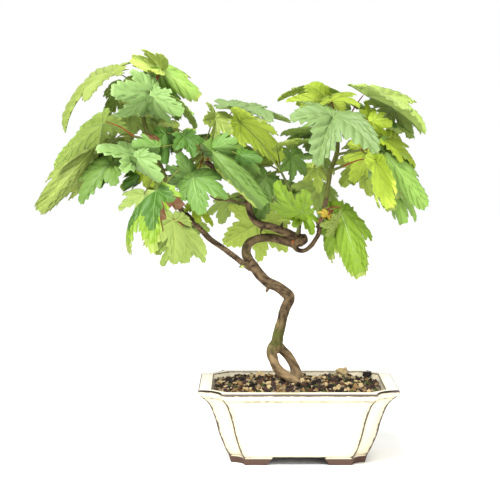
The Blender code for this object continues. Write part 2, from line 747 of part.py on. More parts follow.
def blade_shape(row):
    """A five-lobed leaf blade as a thick plate: each wide lobe folds down from its own rib."""
    outline = blade_outline(row)
    count = len(outline)
    root = count
    ribs = {}
    marks = [(0, 0.0)]
    for degrees, reach in lobe_marks(row):
        if len(row["shoulders"]) > 1 and abs(degrees) < WIDE_LOBES or degrees == 0:
            ribs[degrees] = count + len(marks)
            marks.append((degrees, reach * MIDDLE_OF_LOBE))
    points = []
    for lift in (BLADE_THICKNESS / 2, -BLADE_THICKNESS / 2):
        points += list(blade_points(row, outline + marks, lift))
    notches = [i for i, (degrees, _) in enumerate(outline) if abs(degrees) in (27, 81)]
    backs = [i for i, (degrees, _) in enumerate(outline) if abs(degrees) == LEAF_BACK[0]]
    fans = []
    ring_ends = [backs[0]] + notches + [backs[1]]
    for start, end in zip(ring_ends, ring_ends[1:]):
        rib = ribs.get(outline[(start + end) // 2][0], root)
        fans += [(i, i + 1, rib) for i in range(start, end)]
        if rib != root:
            fans += [(root, start, rib), (end, root, rib)]
    fans += [(0, backs[0], root), (backs[1], 0, root)]
    under = count + len(marks)
    faces = list(fans)
    faces += [tuple(under + i for i in reversed(fan)) for fan in fans]
    for i in range(count):
        after = (i + 1) % count
        faces.append((i, under + i, under + after, after))
    return points, faces


def stalk_places(stem):
    """The places along a stem where leaf stalks start, well inside it at both ends."""
    return stem[2:-1, :3]


def petiole_route(row, stem):
    """The stalk from the nearest place on the shoot's stem, sunk into the blade's foot."""
    origin, _, mid, _, length = blade_frame(row)
    places = stalk_places(stem)
    start = places[np.argmin(np.linalg.norm(places - origin, axis=1))]
    end = origin - mid * length * LEAF_FOOT[1] / 2
    reach = np.linalg.norm(end - start)
    middle = (start + end) / 2 + np.array((0, 0, PETIOLE_RISE * reach))
    radii = (1.0, 0.85, 0.6)
    rows = (start, middle, end)
    return np.array([(*place, PETIOLE_RADIUS * r) for place, r in zip(rows, radii)])


def stem_route(shoot):
    """A shoot's stem. One that goes on from its limb's tip starts inside the limb, and is
    cut a gap's width clear of it with the others."""
    places = smooth_route([(*row, 0) for row in shoot["stem"]], 2)
    end = places[-1] + (places[-1] - places[-2]) * 0.3
    places = np.vstack([places, end])
    places[:, 3] = np.linspace(STEM_RADIUS, STEM_RADIUS * 0.7, len(places))
    if shoot["stem"][0] == shoot["limbs"][0][-1][:3]:
        places[0, :3] -= unit(places[1, :3] - places[0, :3])
    return places


def limb_samples():
    """Points on every limb's middle line, with its radius."""
    limbs = [LEG_FRONT, LEG_BACK, TWIG_DEAD] + [limb for limbs in LIMB_CHAINS for limb in limbs]
    return np.vstack([smooth_route(rows, 6) for rows in limbs])


def blade_samples(row):
    """Points spread over a blade, which stand for it in the tests for room."""
    marks = [(0, 0.0)]
    for degrees, reach in blade_outline(row):
        marks += [(degrees, reach), (degrees, reach * 0.55)]
    return blade_points(row, marks)


def seen_flat(points):
    """Where points appear from the front, as x and z on the plane through the pot's middle."""
    share = -VIEW_FROM[1] / (points[:, 1] - VIEW_FROM[1])
    return VIEW_FROM[[0, 2]] + (points[:, [0, 2]] - VIEW_FROM[[0, 2]]) * share[:, None]


def share_hidden(points, shown):
    """The share of points that lie behind the leaves that show, so the gaps stay open."""
    distances = np.linalg.norm(seen_flat(points)[:, None] - seen_flat(shown)[None], axis=2)
    return (distances.min(axis=1) < HIDE_WITHIN).mean()


def leaf_bounds(row, stem):
    """A leaf's blade and the outer part of its stalk: its box's corners and a tree of its
    faces, to test whether two leaves touch."""
    points, faces = blade_shape(row)
    route = petiole_route(row, stem)
    route[0] = route[0] * 0.6 + route[1] * 0.4
    stalk_points, stalk_faces = tube(route, TWIG_SIDES)
    faces = faces + [tuple(i + len(points) for i in face) for face in stalk_faces]
    points = np.array([*points, *stalk_points])
    tree = BVHTree.FromPolygons([tuple(map(float, point)) for point in points], faces)
    return points.min(axis=0), points.max(axis=0), tree


def touches(leaf_a, leaf_b):
    if (leaf_a[0] > leaf_b[1]).any() or (leaf_b[0] > leaf_a[1]).any():
        return False
    return bool(leaf_a[2].overlap(leaf_b[2]))


def clear_of_limbs(points, limbs, least):
    distances = np.linalg.norm(points[:, None] - limbs[None, :, :3], axis=2)
    return (distances - limbs[:, 3]).min() > least


def has_room(row, stem, space, shown, blades, bounds, limbs):
    """Whether a leaf stays in its shoot's space, behind the leaves that show, off the
    limbs and off the other leaves."""
    centre, radii = (np.array(v, float) for v in space)
    samples = blade_samples(row)
    if np.linalg.norm((samples - centre) / radii, axis=1).max() > 1:
        return False
    if share_hidden(samples, shown) < HIDDEN_SHARE:
        return False
    if not clear_of_limbs(samples, limbs, CLEAR_OF_LIMBS):
        return False
    stalk = smooth_route(petiole_route(row, stem), 4)[1:, :3]
    if not clear_of_limbs(stalk, limbs, PETIOLE_RADIUS + GAP):
        return False
    if np.linalg.norm(samples[:, None] - blades[None], axis=2).min() < CLEAR_OF_LEAVES:
        return False
    own = leaf_bounds(row, stem)
    return not any(touches(own, other) for other in bounds)


def grow_hidden(shoot, shown, blades, bounds, limbs):
    """The leaves behind those that show, tried in seeded order through the shoot's space.
    Each one that has room is added to the blades and bounds that later ones keep off."""
    dice = random.Random(shoot["seed"])
    stem = stem_route(shoot)
    places = stalk_places(stem)
    centre, radii = (np.array(v, float) for v in shoot["space"])
    grown = []
    for _ in range(TRIES):
        if len(grown) == shoot["hidden"]:
            break
        way = unit(np.array([dice.gauss(0, 1) for _ in range(3)]))
        at = centre + radii * way * dice.uniform(0, 0.8)
        droop = math.radians(dice.uniform(5, 70))
        turn = math.radians(dice.uniform(-50, 50))
        length = dice.uniform(26, 38)
        twist = dice.uniform(-0.3, 0.3)
        curl = (dice.uniform(20, 45), 20, dice.uniform(-30, 12))
        start = places[np.argmin(np.linalg.norm(places - at, axis=1))]
        reach = np.linalg.norm(at - start)
        if not STALKS[0] < reach < STALKS[1] or at[1] < start[1] + BEHIND:
            continue
        heading = math.atan2(at[1] - start[1], at[0] - start[0])
        outward = np.array((math.cos(heading), math.sin(heading), 0))
        turned = heading + turn
        flat = np.array((math.cos(turned), math.sin(turned), 0)) * math.cos(droop)
        tip = (flat - np.array((0, 0, math.sin(droop)))) * length
        face = outward * 0.4 + np.array((twist, 0, 1))
        row = leaf(tuple(at), tuple(tip), tuple(face), curl, shoulders=POINTED)
        if has_room(row, stem, shoot["space"], shown, blades, bounds, limbs):
            grown.append(row)
            bounds.append(leaf_bounds(row, stem))
            blades = np.vstack([blades, blade_samples(row)])
    return grown, blades


def make_shoot(name, shoot, leaves, finish, cutter):
    stem = stem_route(shoot)
    obj = make_object(name, tube(stem, STEM_SIDES), finish)
    boolean(obj, "DIFFERENCE", [cutter[limb] for limb in shoot["limbs"]])
    shapes = []
    for row in leaves:
        shapes.append(blade_shape(row))
        shapes.append(tube(petiole_route(row, stem), TWIG_SIDES))
    boolean(obj, "UNION", shapes, "MANIFOLD")
    return obj


def all_leaves():
    """Every shoot's name with its leaves, those that show and those grown behind them."""
    limbs = limb_samples()
    shown = [blade_samples(row) for shoot in SHOOTS.values() for row in shoot["leaves"]]
    shown = np.vstack(shown)
    blades = shown
    bounds = []
    for shoot in SHOOTS.values():
        stem = stem_route(shoot)
        bounds += [leaf_bounds(row, stem) for row in shoot["leaves"]]
    leaves = {}
    for name, shoot in SHOOTS.items():
        hidden, blades = grow_hidden(shoot, shown, blades, bounds, limbs)
        print(name, len(hidden), "hidden leaves of", shoot["hidden"])
        leaves[name] = list(shoot["leaves"]) + hidden
    return leaves


def main():
    for obj in list(bpy.data.objects):
        bpy.data.objects.remove(obj)
    bark = material("bark", (0.19, 0.12, 0.08), 0.85)
    green = material("green_bark", (0.20, 0.20, 0.07), 0.7)
    glaze = material("cream_glaze", (0.86, 0.83, 0.74), 0.25)
    grit = material("soil_grit", (0.28, 0.20, 0.13), 0.95)
    blades = material("leaf_green", (0.20, 0.40, 0.08), 0.6)
    make_pot(glaze)
    make_soil(grit)
    cutter = cutters()
    make_limbs(bark, green, cutter)
    for name, leaves in all_leaves().items():
        make_shoot(name, SHOOTS[name], leaves, blades, cutter)
    plant = bpy.data.objects.new("plant", None)
    bpy.context.scene.collection.objects.link(plant)
    for obj in bpy.data.objects:
        if obj.type == "MESH":
            obj.parent = plant
    plant.location = (-BOX_CENTRE[0] * MM, -BOX_CENTRE[1] * MM, 0)


if __name__ == "__main__":
    main()
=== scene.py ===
# %% [markdown]
# # Sycamore maple bonsai in a glazed pot
# A young maple trained as a small tree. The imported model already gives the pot, the limbs
# and each mass of leaves at its true place and size. This lesson dresses them: it keeps to
# the same routes and the same rule for the leaves, carried on to teeth, veins and granules.

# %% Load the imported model
import math
import random

import bmesh
import bpy
import numpy as np
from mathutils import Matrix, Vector, noise
from mathutils.bvhtree import BVHTree
from mathutils.kdtree import KDTree


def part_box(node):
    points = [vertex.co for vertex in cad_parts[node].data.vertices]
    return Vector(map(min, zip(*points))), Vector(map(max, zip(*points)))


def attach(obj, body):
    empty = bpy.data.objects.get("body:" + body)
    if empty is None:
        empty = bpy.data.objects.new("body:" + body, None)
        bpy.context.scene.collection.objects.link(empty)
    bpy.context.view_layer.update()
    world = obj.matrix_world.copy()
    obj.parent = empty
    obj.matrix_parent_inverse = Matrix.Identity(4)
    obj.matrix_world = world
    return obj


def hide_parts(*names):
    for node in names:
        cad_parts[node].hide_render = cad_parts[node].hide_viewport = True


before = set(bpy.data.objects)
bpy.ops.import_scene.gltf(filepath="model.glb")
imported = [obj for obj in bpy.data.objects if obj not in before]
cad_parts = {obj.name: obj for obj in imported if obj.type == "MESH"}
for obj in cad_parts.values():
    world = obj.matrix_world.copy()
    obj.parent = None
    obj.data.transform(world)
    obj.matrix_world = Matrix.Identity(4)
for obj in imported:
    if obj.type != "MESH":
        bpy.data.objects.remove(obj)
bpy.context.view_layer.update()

# %% [markdown]
# ## Working units
# A gardener thinks of this plant in millimetres from the middle of its pot, so the
# sizes below are in millimetres too. The pot's own box gives the shift to the model's frame.

# %% Sizes and small helpers
MM = 0.001
pot_low, pot_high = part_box("pot")
POT_MIDDLE = np.array(((pot_low.x + pot_high.x) / 2, (pot_low.y + pot_high.y) / 2, 0))


def in_frame(points):
    """Millimetres from the pot's middle, as metres in the model's frame."""
    return np.array(points, float) * MM + POT_MIDDLE


def hex_colour(code):
    """A colour in sRGB hex, as the linear values that a shader takes."""
    values = [int(code[i : i + 2], 16) / 255 for i in (1, 3, 5)]
    linear = [v / 12.92 if v <= 0.04045 else ((v + 0.055) / 1.055) ** 2.4 for v in values]
    return (*linear, 1.0)


def add_node(tree, kind, settings=(), inputs=()):
    """Adds a node: settings are its properties, inputs are values or links for its sockets."""
    node = tree.nodes.new(kind)
    for name, value in dict(settings).items():
        setattr(node, name, value)
    for key, value in dict(inputs).items():
        socket = node.inputs[key]
        if isinstance(value, bpy.types.NodeSocket):
            tree.links.new(value, socket)
        else:
            socket.default_value = value
    return node


def new_finish(name):
    """An empty material with its shader: the material, its tree and the shader."""
    finish = bpy.data.materials.new(name)
    finish.use_nodes = True
    tree = finish.node_tree
    return finish, tree, tree.nodes["Principled BSDF"]


def mesh_piece(name, points, faces, finishes=(), tints=None, smooth=True):
    """An object at the origin from points in metres."""
    mesh = bpy.data.meshes.new(name)
    mesh.from_pydata(np.asarray(points).tolist(), [], faces)
    for finish in finishes:
        mesh.materials.append(finish)
    if tints is not None:
        mesh.polygons.foreach_set("material_index", np.array(tints, np.int32))
    mesh.polygons.foreach_set("use_smooth", [smooth] * len(mesh.polygons))
    mesh.update()
    piece = bpy.data.objects.new(name, mesh)
    bpy.context.scene.collection.objects.link(piece)
    return piece


def hand_over(piece, slot, *nodes):
    """The piece rides on the plant's one body, in place of the model's nodes."""
    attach(piece, "root")
    if nodes:
        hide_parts(*nodes)
    triangles = sum(len(face.vertices) - 2 for face in piece.data.polygons)
    print(f"{piece.name}: {triangles} triangles")


def plain_mesh(piece):
    """The evaluated shape as the object's own mesh, with its modifiers gone."""
    graph = bpy.context.evaluated_depsgraph_get()
    finished = bpy.data.meshes.new_from_object(piece.evaluated_get(graph))
    piece.modifiers.clear()
    piece.data = finished


def grow(piece, tree, **values):
    """Runs a Geometry Nodes tree on the object: each value goes to the input of that name."""
    modifier = piece.modifiers.new("grow", "NODES")
    modifier.node_group = tree
    for item in tree.interface.items_tree:
        if item.item_type == "SOCKET" and item.in_out == "INPUT" and item.name in values:
            modifier[item.identifier] = values[item.name]
    plain_mesh(piece)


def unit(vector):
    """The vector's way, with a length of one."""
    return vector / np.linalg.norm(vector)


def smooth_route(rows, steps=2):
    """Points on a smooth curve through rows of x, y, z and whatever they hold after that."""
    rows = np.array(rows, float)
    ends = np.vstack([2 * rows[0] - rows[1], rows, 2 * rows[-1] - rows[-2]])
    points = []
    for i in range(len(rows) - 1):
        before, start, end, after = ends[i : i + 4]
        for step in range(steps):
            t = step / steps
            cubic = (3 * start - before - 3 * end + after) * t**3
            square = (2 * before - 5 * start + 4 * end - after) * t**2
            points.append(0.5 * (2 * start + (end - before) * t + square + cubic))
    points.append(rows[-1])
    return np.array(points)


def lofted(rings):
    """Rings of equal length joined into one closed shape, its ends filled."""
    count = len(rings[0])
    points = np.vstack(rings)
    faces = [tuple(reversed(range(count)))]
    for ring in range(len(rings) - 1):
        first = ring * count
        for i in range(count):
            after = (i + 1) % count
            faces.append((first + i, first + after, first + count + after, first + count + i))
    last = (len(rings) - 1) * count
    faces.append(tuple(range(last, last + count)))
    return points, faces


def ball(centre, radius, steps, sides):
    """A closed ball from rings, for a stone or a knot."""
    turns = np.arange(sides) * 2 * math.pi / sides
    rings = []
    for height in np.linspace(-1, 1, steps + 2)[1:-1]:
        girth = math.sqrt(1 - height**2)
        ring = np.column_stack([np.cos(turns) * girth, np.sin(turns) * girth, np.full(sides, height)])
        rings.append(np.array(centre) + ring * radius)
    return lofted(rings)


# %% [markdown]
# ## Studio
# The plant stands on a plain white table in soft light from a big box overhead, and a long
# lens looks a little down at it. A bright surround keeps the shadows pale.

# %% Camera, table and light
VIEW_FROM = np.array((-38.7, -1236, 278))  # millimetres
LOOK_DOWN = 5  # degrees
TABLE_HALF = 3.0  # metres
SHEEN_PATCH = 150  # millimetres
scene = bpy.context.scene
lens = bpy.data.cameras.new("long_lens")
lens.lens = 110
lens.sensor_width = 36
lens.clip_end = 20
camera = bpy.data.objects.new("camera", lens)
scene.collection.objects.link(camera)
camera.location = in_frame(VIEW_FROM)
camera.rotation_euler = (math.radians(90 - LOOK_DOWN), 0, 0)
scene.camera = camera
scene.view_settings.view_transform = "Standard"

# White laminate has an even, half-matt sheen that varies a little over a hand's width.
table_finish, tree, shader = new_finish("white_laminate")
place = add_node(tree, "ShaderNodeTexCoord")
grain = add_node(
    tree, "ShaderNodeTexNoise",
    inputs={"Vector": place.outputs["Object"], "Scale": 1 / (SHEEN_PATCH * MM), "Detail": 3.0},
)
ramp = add_node(
    tree, "ShaderNodeMapRange", inputs={"Value": grain.outputs["Fac"], "To Min": 0.6, "To Max": 0.7}
)
tree.links.new(ramp.outputs["Result"], shader.inputs["Roughness"])
shader.inputs["Base Color"].default_value = hex_colour("#FAFAF8")
corners = [(x * TABLE_HALF, y * TABLE_HALF, 0) for x, y in ((-1, -1), (1, -1), (1, 1), (-1, 1))]
table = mesh_piece("table", corners, [(0, 1, 2, 3)], [table_finish])

world = bpy.data.worlds.new("bright_room")
world.use_nodes = True
world.node_tree.nodes["Background"].inputs["Color"].default_value = (1, 1, 1, 1)
world.node_tree.nodes["Background"].inputs["Strength"].default_value = 1.0
scene.world = world

# Each light: place, what it looks at, side in metres, power in watts.
LIGHTS = (
    ("overhead_box", (-0.35, -0.7, 1.25), (0, 0, 0.2), 0.6, 48),
    ("front_fill", (0.8, -1.5, 0.6), (0, 0, 0.2), 0.9, 14),
)
for name, place, target, side, power in LIGHTS:
    lamp = bpy.data.lights.new(name, "AREA")
    lamp.size = side
    lamp.energy = power
    light = bpy.data.objects.new(name, lamp)
    scene.collection.objects.link(light)
    light.location = place
    light.rotation_euler = (Vector(target) - Vector(place)).to_track_quat("-Z", "Y").to_euler()
print("lights:", len(LIGHTS))

# %% [markdown]
# ## The pot
# Low pots of this kind are slip-cast or pressed stoneware. The wall flares from four small
# feet to a broad flat lip, and each corner is scooped in by a quarter circle. The shape is
# one outline, repeated at many heights, so it is lofted from rings. On each point goes its
# distance from the nearest sharp edge, which the glaze needs.

# %% The pot's outline at one height
POT_LENGTH, POT_DEPTH, POT_HEIGHT = 160, 120, 62
FOOT_HEIGHT, FOOT_WIDTH, RIM_WIDTH, WALL = 7, 14, 11, 5
FLOOR_TOP, SOIL_EDGE, TRUNK_CUT, GAP = 14, 59, 64, 0.3
FOOT_INSET, TOP_CORNER, OPENING_CORNER, CORNER_SHRINK = 26, 18.6, 13, 4
LEDGE = 55.5  # the height of the faint line under the lip
ARC_STEPS, SIDE_STEPS = 14, 10
BESIDE_CREASE = (0.4, 0.9, 1.6, 3.0, 6.0)

# The outside from the foot up: inset from the lip's edge, height, corner radius.
POT_PROFILE = (
    (FOOT_INSET, 0, 11), (24, FOOT_HEIGHT, 12), (22, 11, 12), (17, 24, 13), (14, 36, 13.5),
    (11, 45, 14), (8, 51, 15), (3.5, LEDGE, 17), (0.6, 58, 18.7), (0, 59.2, 19),
    (0, POT_HEIGHT - 0.8, 19), (0.8, POT_HEIGHT, TOP_CORNER),
)
BELOW_LEDGE = POT_PROFILE[:7]


def with_sides(arcs):
    """A closed ring from its four corners' points, with more points along the straight sides,
    close together beside each crease. The second list is each point's way to a crease."""
    ring, ways = [], []
    for arc, following in zip(arcs, arcs[1:] + arcs[:1]):
        arc = np.array(arc, float)
        lengths = np.linalg.norm(arc - arc[0], axis=1)
        ring += list(arc)
        ways += list(np.minimum(lengths, lengths[::-1]))
        start, end = arc[-1], np.array(following[0], float)
        span = np.linalg.norm(end - start)
        middle = np.linspace(BESIDE_CREASE[-1], span - BESIDE_CREASE[-1], SIDE_STEPS + 1)[1:-1]
        for way in [*BESIDE_CREASE, *middle, *(span - w for w in reversed(BESIDE_CREASE))]:
            ring.append(start + (end - start) * way / span)
            ways.append(min(way, span - way))
    return np.array(ring), np.array(ways)


def scooped_ring(inset, height, corner):
    """A rectangle with its corners scooped in by quarter circles, anticlockwise from above."""
    half_x, half_y = POT_LENGTH / 2 - inset, POT_DEPTH / 2 - inset
    arcs = []
    for quarter, (sign_x, sign_y) in enumerate(((1, 1), (-1, 1), (-1, -1), (1, -1))):
        turns = [math.pi / 2 * (quarter + 3 - step / ARC_STEPS) for step in range(ARC_STEPS + 1)]
        corner_x, corner_y = sign_x * half_x, sign_y * half_y
        arc = [(corner_x + corner * math.cos(t), corner_y + corner * math.sin(t), height) for t in turns]
        arcs.append(arc)
    return with_sides(arcs)


def opening_ring(inset, height, corner):
    """The opening: a rectangle with straight-cut corners, and as many points."""
    half_x, half_y = POT_LENGTH / 2 - inset, POT_DEPTH / 2 - inset
    arcs = []
    for sign_x, sign_y, x_first in ((1, 1, 1), (-1, 1, 0), (-1, -1, 1), (1, -1, 0)):
        on_side = np.array((sign_x * half_x, sign_y * (half_y - corner), height))
        on_front = np.array((sign_x * (half_x - corner), sign_y * half_y, height))
        start, end = (on_side, on_front) if x_first else (on_front, on_side)
        arcs.append([start + (end - start) * step / ARC_STEPS for step in range(ARC_STEPS + 1)])
    return with_sides(arcs)


def inner_ring(height, gap=0.0):
    """The inner wall, which follows the outside and narrows a little towards the floor."""
    heights = [row[1] for row in BELOW_LEDGE] + [POT_HEIGHT]
    insets = [row[0] + WALL for row in BELOW_LEDGE] + [RIM_WIDTH]
    corner = OPENING_CORNER - CORNER_SHRINK * (POT_HEIGHT - height) / POT_HEIGHT
    return opening_ring(float(np.interp(height, heights, insets)) + gap, height, corner)


print("rows of the pot's profile:", len(POT_PROFILE))

# %% Loft the pot and cut its feet
FAR = 9.0  # millimetres: no edge near
LIP_FROM = 57  # the height from which the lip's own edge counts
SOFT_CREASE_FROM, SOFT_CREASE = 57.5, 0.8  # on the lip the corners' creases stay under the glaze
CREASE_SHARE, LEDGE_SHARE, FOOT_SHARE = 0.6, 0.9, 2
LIP_EDGE, LEDGE_DEEP, OPENING_EDGE = 0.9, 0.5, 0.2
SCOOPED_TO = 9  # the inset at which the lip has the opening's shape
LIP_TOP = ((3, 0), (6, 0), (SCOOPED_TO, 0), (10.2, 0), (10.8, 0.15))  # insets and drops
INNER_HEIGHTS = (POT_HEIGHT - 0.6, 61, SOIL_EDGE, 57, 52, 45, 30, FLOOR_TOP)
rings, ways = [], []
for inset, height, corner in smooth_route(POT_PROFILE, 4):
    ring, crease = scooped_ring(inset, height, corner)
    lip = FAR
    if height > LIP_FROM:
        lip = max(0.0, math.hypot(inset, POT_HEIGHT - height) - LIP_EDGE)
    ledge = LEDGE_DEEP + min(LEDGE_SHARE * abs(height - LEDGE), FOOT_SHARE * abs(height - FOOT_HEIGHT))
    soft = 0.0 if height < SOFT_CREASE_FROM else SOFT_CREASE
    rings.append(ring)
    ways.append(np.minimum(CREASE_SHARE * crease + soft, min(lip, ledge)))
for inset, drop in LIP_TOP:
    height = POT_HEIGHT - drop
    ring, _ = opening_ring(inset, height, OPENING_CORNER * (inset / RIM_WIDTH) ** 0.5)
    if inset < SCOOPED_TO:
        outer, _ = scooped_ring(inset, height, TOP_CORNER)
        ring = outer * (1 - inset / SCOOPED_TO) + ring * (inset / SCOOPED_TO)
    rings.append(ring)
    ways.append(np.full(len(ring), max(OPENING_EDGE, RIM_WIDTH - inset)))
for height in INNER_HEIGHTS:
    ring, _ = inner_ring(height)
    rings.append(ring)
    ways.append(np.full(len(ring), min(FAR, POT_HEIGHT - height)))
points, faces = lofted(rings)
pot = mesh_piece("pot", in_frame(points), faces)
edge_way = pot.data.attributes.new("edge_way", "FLOAT", "POINT")
edge_way.data.foreach_set("value", np.concatenate(ways).astype(np.float32))


def cut_away(piece, shapes):
    """Cuts closed shapes, in millimetres, from the piece."""
    for shape_points, shape_faces in shapes:
        cutter = mesh_piece("cutter", in_frame(shape_points), shape_faces)
        modifier = piece.modifiers.new("cut", "BOOLEAN")
        modifier.object = cutter
        modifier.operation = "DIFFERENCE"
        modifier.solver = "EXACT"
        plain_mesh(piece)
        bpy.data.objects.remove(cutter)


def foot_gap(top, bottom, length, along_x):
    """The wide arch between two feet: a bar whose ends slope in towards the top."""
    outline = ((-bottom, -1), (bottom, -1), (top, FOOT_HEIGHT), (-top, FOOT_HEIGHT))
    if along_x:
        return lofted([[(reach, across, z) for across, z in outline] for reach in (-length, length)])
    return lofted([[(-across, reach, z) for across, z in outline] for reach in (-length, length)])


# Half widths of the arches between the feet, at their top and at the ground.
LONG_ARCH, SHORT_ARCH = (20, 26), (9, 13)
feet = FOOT_INSET + FOOT_WIDTH
hollow_x, hollow_y = POT_LENGTH / 2 - feet, POT_DEPTH / 2 - feet
corners = ((-hollow_x, -hollow_y), (hollow_x, -hollow_y), (hollow_x, hollow_y), (-hollow_x, hollow_y))
hollow = lofted([[(x, y, z) for x, y in corners] for z in (-1, FOOT_HEIGHT)])
cut_away(pot, [hollow, foot_gap(*LONG_ARCH, POT_DEPTH, False), foot_gap(*SHORT_ARCH, POT_LENGTH, True)])
print("pot faces:", len(pot.data.polygons))

# %% [markdown]
# ## Glaze and bare clay
# The glaze is a thick cream-white one, fired glossy. It runs thin where the clay has a
# sharp edge, and there the brown body breaks through as a fine line. The feet are left bare
# so that they don't stick to the kiln shelf.

# %% Cream glaze that breaks brown on the edges
# Sizes in millimetres: how often a broken edge wanders, where the glaze pools, and from one
# iron speck to the next.
WANDER_SIZE, POOL_SIZE, SPECK_SPACING = 3.85, 33.3, 9.09
glaze, tree, shader = new_finish("cream_stoneware_glaze")
place = add_node(tree, "ShaderNodeTexCoord")
way = add_node(tree, "ShaderNodeAttribute", {"attribute_name": "edge_way"})
wander = add_node(
    tree, "ShaderNodeTexNoise",
    inputs={"Vector": place.outputs["Object"], "Scale": 1 / (WANDER_SIZE * MM), "Detail": 3.0},
)
drift = add_node(
    tree, "ShaderNodeMath", {"operation": "MULTIPLY_ADD"},
    {0: wander.outputs["Fac"], 1: -1.5, 2: way.outputs["Fac"]},
)
broken = add_node(
    tree, "ShaderNodeMapRange", {"interpolation_type": "SMOOTHSTEP"},
    {"Value": drift.outputs[0], "From Min": -0.25, "From Max": 0.3, "To Min": 1.0, "To Max": 0.0},
)
pooling = add_node(
    tree, "ShaderNodeTexNoise",
    inputs={"Vector": place.outputs["Object"], "Scale": 1 / (POOL_SIZE * MM), "Detail": 2.0},
)
cream = add_node(
    tree, "ShaderNodeMix", {"data_type": "RGBA"},
    {"Factor": pooling.outputs["Fac"], "A": hex_colour("#C8C3B0"), "B": hex_colour("#BFB8A0")},
)
thin = add_node(
    tree, "ShaderNodeMapRange",
    inputs={"Value": way.outputs["Fac"], "From Min": 0.5, "From Max": 5.0, "To Min": 0.6, "To Max": 0.0},
)
warmed = add_node(
    tree, "ShaderNodeMix", {"data_type": "RGBA"},
    {"Factor": thin.outputs["Result"], "A": cream.outputs["Result"], "B": hex_colour("#BDAD84")},
)
specks = add_node(
    tree, "ShaderNodeTexVoronoi",
    inputs={"Vector": place.outputs["Object"], "Scale": 1 / (SPECK_SPACING * MM)},
)
speck = add_node(
    tree, "ShaderNodeMapRange",
    inputs={
        "Value": specks.outputs["Distance"], "From Min": 0.03, "From Max": 0.06, "To Min": 0.7,
        "To Max": 0.0,
    },
)
marks = add_node(
    tree, "ShaderNodeMath", {"operation": "MAXIMUM", "use_clamp": True},
    {0: broken.outputs["Result"], 1: speck.outputs["Result"]},
)
glazed = add_node(
    tree, "ShaderNodeMix", {"data_type": "RGBA"},
    {"Factor": marks.outputs[0], "A": warmed.outputs["Result"], "B": hex_colour("#33241A")},
)
tree.links.new(glazed.outputs["Result"], shader.inputs["Base Color"])
sheen = add_node(
    tree, "ShaderNodeMapRange", inputs={"Value": marks.outputs[0], "To Min": 0.16, "To Max": 0.42}
)
tree.links.new(sheen.outputs["Result"], shader.inputs["Roughness"])
ripple = add_node(
    tree, "ShaderNodeBump",
    inputs={"Height": pooling.outputs["Fac"], "Strength": 0.12, "Distance": 0.002},
)
tree.links.new(ripple.outputs["Normal"], shader.inputs["Normal"])
print("nodes in the glaze:", len(tree.nodes))

# %% Bare brown clay on the feet
GRIT_SIZE = 1.11  # millimetres: coarser than the real grit, so that it shows
GLAZE_END = 6.2  # millimetres above the ground
# Fired clay without glaze is dark, dry and gritty, with no gloss.
clay, tree, shader = new_finish("unglazed_brown_stoneware")
place = add_node(tree, "ShaderNodeTexCoord")
grit_marks = add_node(
    tree, "ShaderNodeTexNoise",
    inputs={"Vector": place.outputs["Object"], "Scale": 1 / (GRIT_SIZE * MM), "Detail": 4.0},
)
body = add_node(
    tree, "ShaderNodeMix", {"data_type": "RGBA"},
    {"Factor": grit_marks.outputs["Fac"], "A": hex_colour("#38251C"), "B": hex_colour("#50372B")},
)
tree.links.new(body.outputs["Result"], shader.inputs["Base Color"])
shader.inputs["Roughness"].default_value = 0.85
pits = add_node(
    tree, "ShaderNodeBump", inputs={"Height": grit_marks.outputs["Fac"], "Strength": 0.4, "Distance": 0.0004}
)
tree.links.new(pits.outputs["Normal"], shader.inputs["Normal"])

pot.data.materials.clear()
pot.data.materials.append(glaze)
pot.data.materials.append(clay)
for face in pot.data.polygons:
    face.material_index = 1 if face.center.z < GLAZE_END * MM else 0
    face.use_smooth = True
pot.data.set_sharp_from_angle(angle=math.radians(35))
hand_over(pot, "glaze", "pot")

# %% [markdown]
# ## Soil
# The mix is fired clay, pumice and lava, sieved to a few millimetres, with moss here and
# there. One rough bed carries it. Geometry Nodes scatter the granules over the bed: each
# kind takes its own share of the same points, so no two granules fill one place.

# %% The bed under the granules
MOUND_TOP = np.array((-3, -3, TRUNK_CUT - GAP))
MOUND_SHAPE = ((0, 0.2, 0.66, 1), (1, 1, 0.5, 0))  # shares of the way out, and of the rise
BED_RINGS, BED_DEPTH, BED_SUNK = 30, 6, 1.6
LUMP_SIZE, LUMP_HEIGHT, CRUMB_SIZE = 11.0, 2.4, 2.22  # millimetres


def soil_surface(inset):
    """Rings from the pot's wall in to the trunk, on a low uneven mound."""
    edge, _ = inner_ring(SOIL_EDGE, GAP + inset)
    rings = []
    for share in np.linspace(1, 0.03, BED_RINGS):
        ring = MOUND_TOP + (edge - MOUND_TOP) * share
        ring[:, 2] = SOIL_EDGE + (MOUND_TOP[2] - SOIL_EDGE) * np.interp(share, *MOUND_SHAPE)
        for point in ring:
            point[2] += LUMP_HEIGHT * noise.noise(Vector(point) / LUMP_SIZE) - BED_SUNK
        rings.append(ring)
    low = rings[0].copy()
    low[:, 2] = SOIL_EDGE - BED_DEPTH
    return [low] + rings


points, faces = lofted(soil_surface(0))
bed = mesh_piece("soil_bed", in_frame(points), faces)
